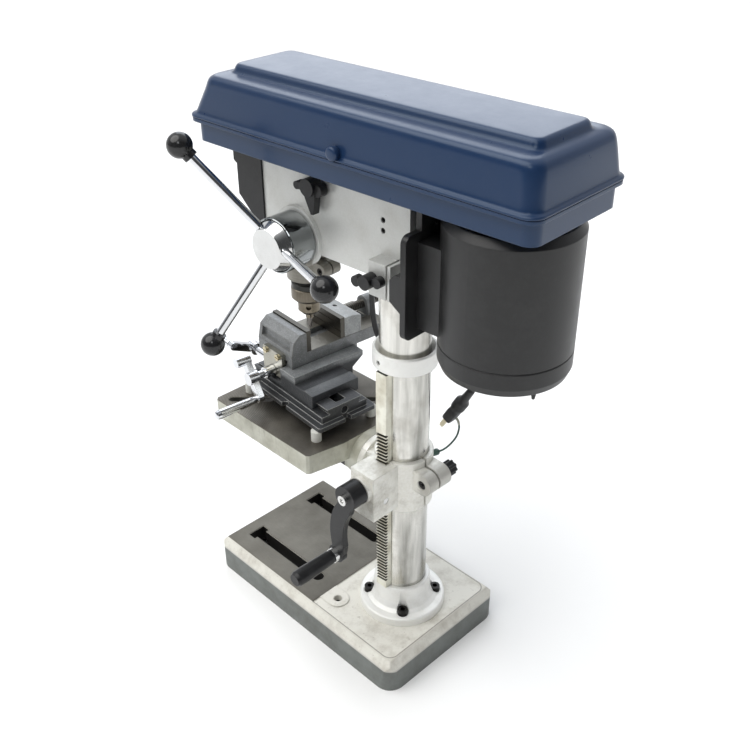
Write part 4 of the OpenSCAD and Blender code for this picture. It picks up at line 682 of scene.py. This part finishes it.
# The spindle: a steel quill, a chuck with a knurled sleeve and a short twist drill. The chuck's steel
# is browned by oil and handling, with a dark band at its top.
quill_steel = metal("quill_steel", (0.62, 0.62, 0.61), 0.24, streak=(1, 1, 14), streak_scale=60.0)
dress("quill spindle", quill_steel)
chuck_steel = metal("chuck_steel", (0.2, 0.175, 0.135), 0.32, streak=(9, 9, 0.6), streak_scale=60.0,
    spread=0.5, stain=0.6)
tree = chuck_steel.node_tree
height = add(tree, "SeparateXYZ", {0: add(tree, "TexCoord").outputs["Object"]}).outputs["Z"]
over(chuck_steel, between(tree, height, 0.4526, 0.453), (0.045, 0.045, 0.042, 1))
dress("chuck chuck_jaws", chuck_steel)
sleeve_steel = metal("sleeve_steel", (0.17, 0.15, 0.12), 0.36, streak=(9, 9, 0.6), spread=0.5, stain=0.6)
dress("chuck_sleeve", sleeve_steel)
drill_steel = metal("drill_steel", (0.16, 0.15, 0.14), 0.34)
dress("drill_bit", drill_steel)

# The drive: two turned pulleys and a rubber V belt under a pressed steel cover in satin navy paint,
# which is hinged at the far side and opened by a small knob.
pulley_metal = metal("pulley_metal", (0.7, 0.7, 0.7), 0.26)
dress("spindle_pulley motor_pulley", pulley_metal)
# The belt's loop: an arc round each pulley, joined by the straight runs that touch both, with the V
# section (distance out from the groove, height) carried along it.
spindle_y, motor_y, spindle_wrap, motor_wrap = -155.0, 133.0, 39.0, 32.0
lean = math.asin((spindle_wrap - motor_wrap) / (motor_y - spindle_y))
section = np.array([[0.3, 658.2], [3.0, 657.6], [5.4, 656.8], [5.4, 663.2], [3.0, 662.4], [0.3, 661.8],
    [0.3, 658.2]])
near_arc = math.pi - lean + np.linspace(0, math.pi + 2 * lean, 49)
far_arc = lean + np.linspace(0, math.pi - 2 * lean, 49)
near_r = spindle_wrap + section[:, :1]
far_r = motor_wrap + section[:, :1]
belt_x = np.concatenate([near_r * np.cos(near_arc), far_r * np.cos(far_arc)], 1)
belt_y = np.concatenate([near_r * np.sin(near_arc) + spindle_y, far_r * np.sin(far_arc) + motor_y], 1)
belt_rings = np.stack([belt_x, belt_y, section[:, 1:] + 0 * belt_x], -1)
drive_belt = shell("drive_belt", on_head(belt_rings), black_rubber, caps=False, sharp=30)
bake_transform(drive_belt)
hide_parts("belt")
navy = moulding("navy_paint", (0.01, 0.03, 0.085), 0.3, grain=350.0, depth=0.00004, scuff=0.004,
    round_edge=0.002)
gloss = navy.node_tree.nodes["Principled BSDF"].inputs
gloss["Coat Weight"].default_value = 0.15
gloss["Coat Roughness"].default_value = 0.12
gloss["Specular Tint"].default_value = (0.72, 0.86, 1.0, 1)
gloss["Specular IOR Level"].default_value = 0.42
dress("belt_pan", navy)
# Rows of the cover, outside from the rim to the crown and inside from the crown to the rim: half width,
# front and rear ends as offsets from the pan's, corner radius, height.
front, rear, peak, rim = -251.0, 200.7, 712.0, 654.0
outside = np.array([[74.0, -3.6, 2.2, 14.5, rim - 0.1], [76.4, -5.8, 4.2, 16, rim + 0.1],
    [77.3, -6.8, 5.2, 16.6, rim + 1.6], [76.6, -6.0, 4.5, 16.2, rim + 3.3],
    [74.6, -3.6, 2.5, 16, rim + 4.2], [73.3, -1.8, 1.4, 16, rim + 5.4],
    [71.4, 6.0, -0.3, 16.5, rim + 20], [69.7, 13.0, -1.9, 17, peak - 25],
    [68.4, 17.2, -4.4, 17, peak - 15], [65.4, 22.4, -8.6, 16, peak - 11.6],
    [61.0, 27.0, -12.6, 14.5, peak - 10.4], [49.0, 33.6, -15.8, 12.6, peak - 9.7],
    [46.2, 35.2, -17.0, 12.0, peak - 9.0], [44.4, 36.6, -18.2, 11.2, peak - 6.6],
    [42.8, 38.2, -19.4, 10.4, peak - 2.6], [40.6, 40.6, -21.6, 9.0, peak - 0.5],
    [37.6, 43.6, -24.6, 7.6, peak], [22.0, 70.0, -50.0, 6.0, peak + 0.3]])
inside = np.array([[20.0, 72.0, -52.0, 5.5, peak - 2.2], [37.0, 44.0, -25.0, 6, peak - 2.5],
    [40.0, 41.0, -22.0, 8, peak - 4], [44.0, 37.0, -19.0, 10, peak - 12],
    [61.0, 27.0, -13.0, 13, peak - 13], [65.0, 21.5, -8.5, 15, peak - 16],
    [67.0, 16.0, -4.5, 15, peak - 24], [70.5, 0.5, -1.0, 14, rim + 6], [70.5, 0.5, -1.0, 14, rim]])


def softened(rows, times):
    """Rows of numbers with their corners cut: each step between two rows is replaced by its points at one
    quarter and three quarters, again and again; the first and last rows stay."""
    r = np.asarray(rows, float)
    for _ in range(times):
        cut = np.stack([0.75 * r[:-1] + 0.25 * r[1:], 0.25 * r[:-1] + 0.75 * r[1:]], 1)
        r = np.concatenate([r[:1], cut.reshape(-1, r.shape[1]), r[-1:]])
    return r


def lid_rings(rows, per_corner=14):
    """Rounded rectangles, one for each row: four quarter circles of the corner radius, set in from the
    row's half width and ends, at the row's height."""
    hx, y0, y1, r, z = (rows[:, k, None] for k in range(5))
    y0, y1 = front + y0, rear + y1
    a = (np.arange(4)[:, None] * 90 + np.linspace(0, 90, per_corner)).reshape(1, -1) * math.pi / 180
    q = np.repeat(np.arange(4), per_corner)[None]
    cx = np.where((q == 0) | (q == 3), hx - r, r - hx)
    cy = np.where(q < 2, y1 - r, y0 + r)
    return np.stack([cx + r * np.cos(a), cy + r * np.sin(a), z + 0 * a], -1)


lid_rows = np.concatenate([softened(inside, 1), softened(outside, 2)])
lid_skin = shell("lid_skin", on_head(lid_rings(lid_rows)), navy, sharp=60)
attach(lid_skin, "lid")
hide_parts("lid")
knob_profile = [[0, 3.6], [2.2, 3.6], [2.6, 6.0], [3.4, 7.0], [8.2, 7.4], [9.6, 7.0], [10.6, 5.8],
    [11.1, 4.0], [11.3, 1.0]]
knob_rings = turned(softened(knob_profile, 2), (70.6, -29, rim + 8), (1, 0, 0))
lid_knob = shell("lid_knob", on_head(knob_rings), navy, sharp=60)
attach(lid_knob, "lid")
hinge_x, hinge_z = -81.7, rim - 1
knuckle_profile = [[0, 1.6], [0, 4.2], [0.4, 4.5], [27.6, 4.5], [28, 4.2], [28, 1.6], [0, 1.6]]
leaf_x = np.array([hinge_x, -74.0, -73.6, hinge_x])
leaf_z = hinge_z + np.array([1.4, 1.4, 3.9, 4.2])
for k, y in enumerate((-174.0, 96.0)):
    knuckle_rings = turned(knuckle_profile, (hinge_x, y, hinge_z), (0, 1, 0), 32)
    knuckle = shell("lid_knuckle_%d" % k, on_head(knuckle_rings), navy, caps=False)
    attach(knuckle, "lid")
    leaf_ends = [np.stack([leaf_x, np.full(4, y + d), leaf_z], -1) for d in (0.2, 27.8)]
    leaf = shell("lid_leaf_%d" % k, on_head(np.stack(leaf_ends)), navy)
    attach(leaf, "lid")

# The motor: a drawn steel shell in satin black on a pressed plate with two slide bars. It hangs behind
# the column, and sliding it away from the spindle tightens the belt.
motor_black = moulding("motor_black", (0.0095, 0.0095, 0.01), 0.4, grain=700.0, scuff=0.012,
    round_edge=0.0015)
dress("motor motor_plate slide_bars", motor_black)
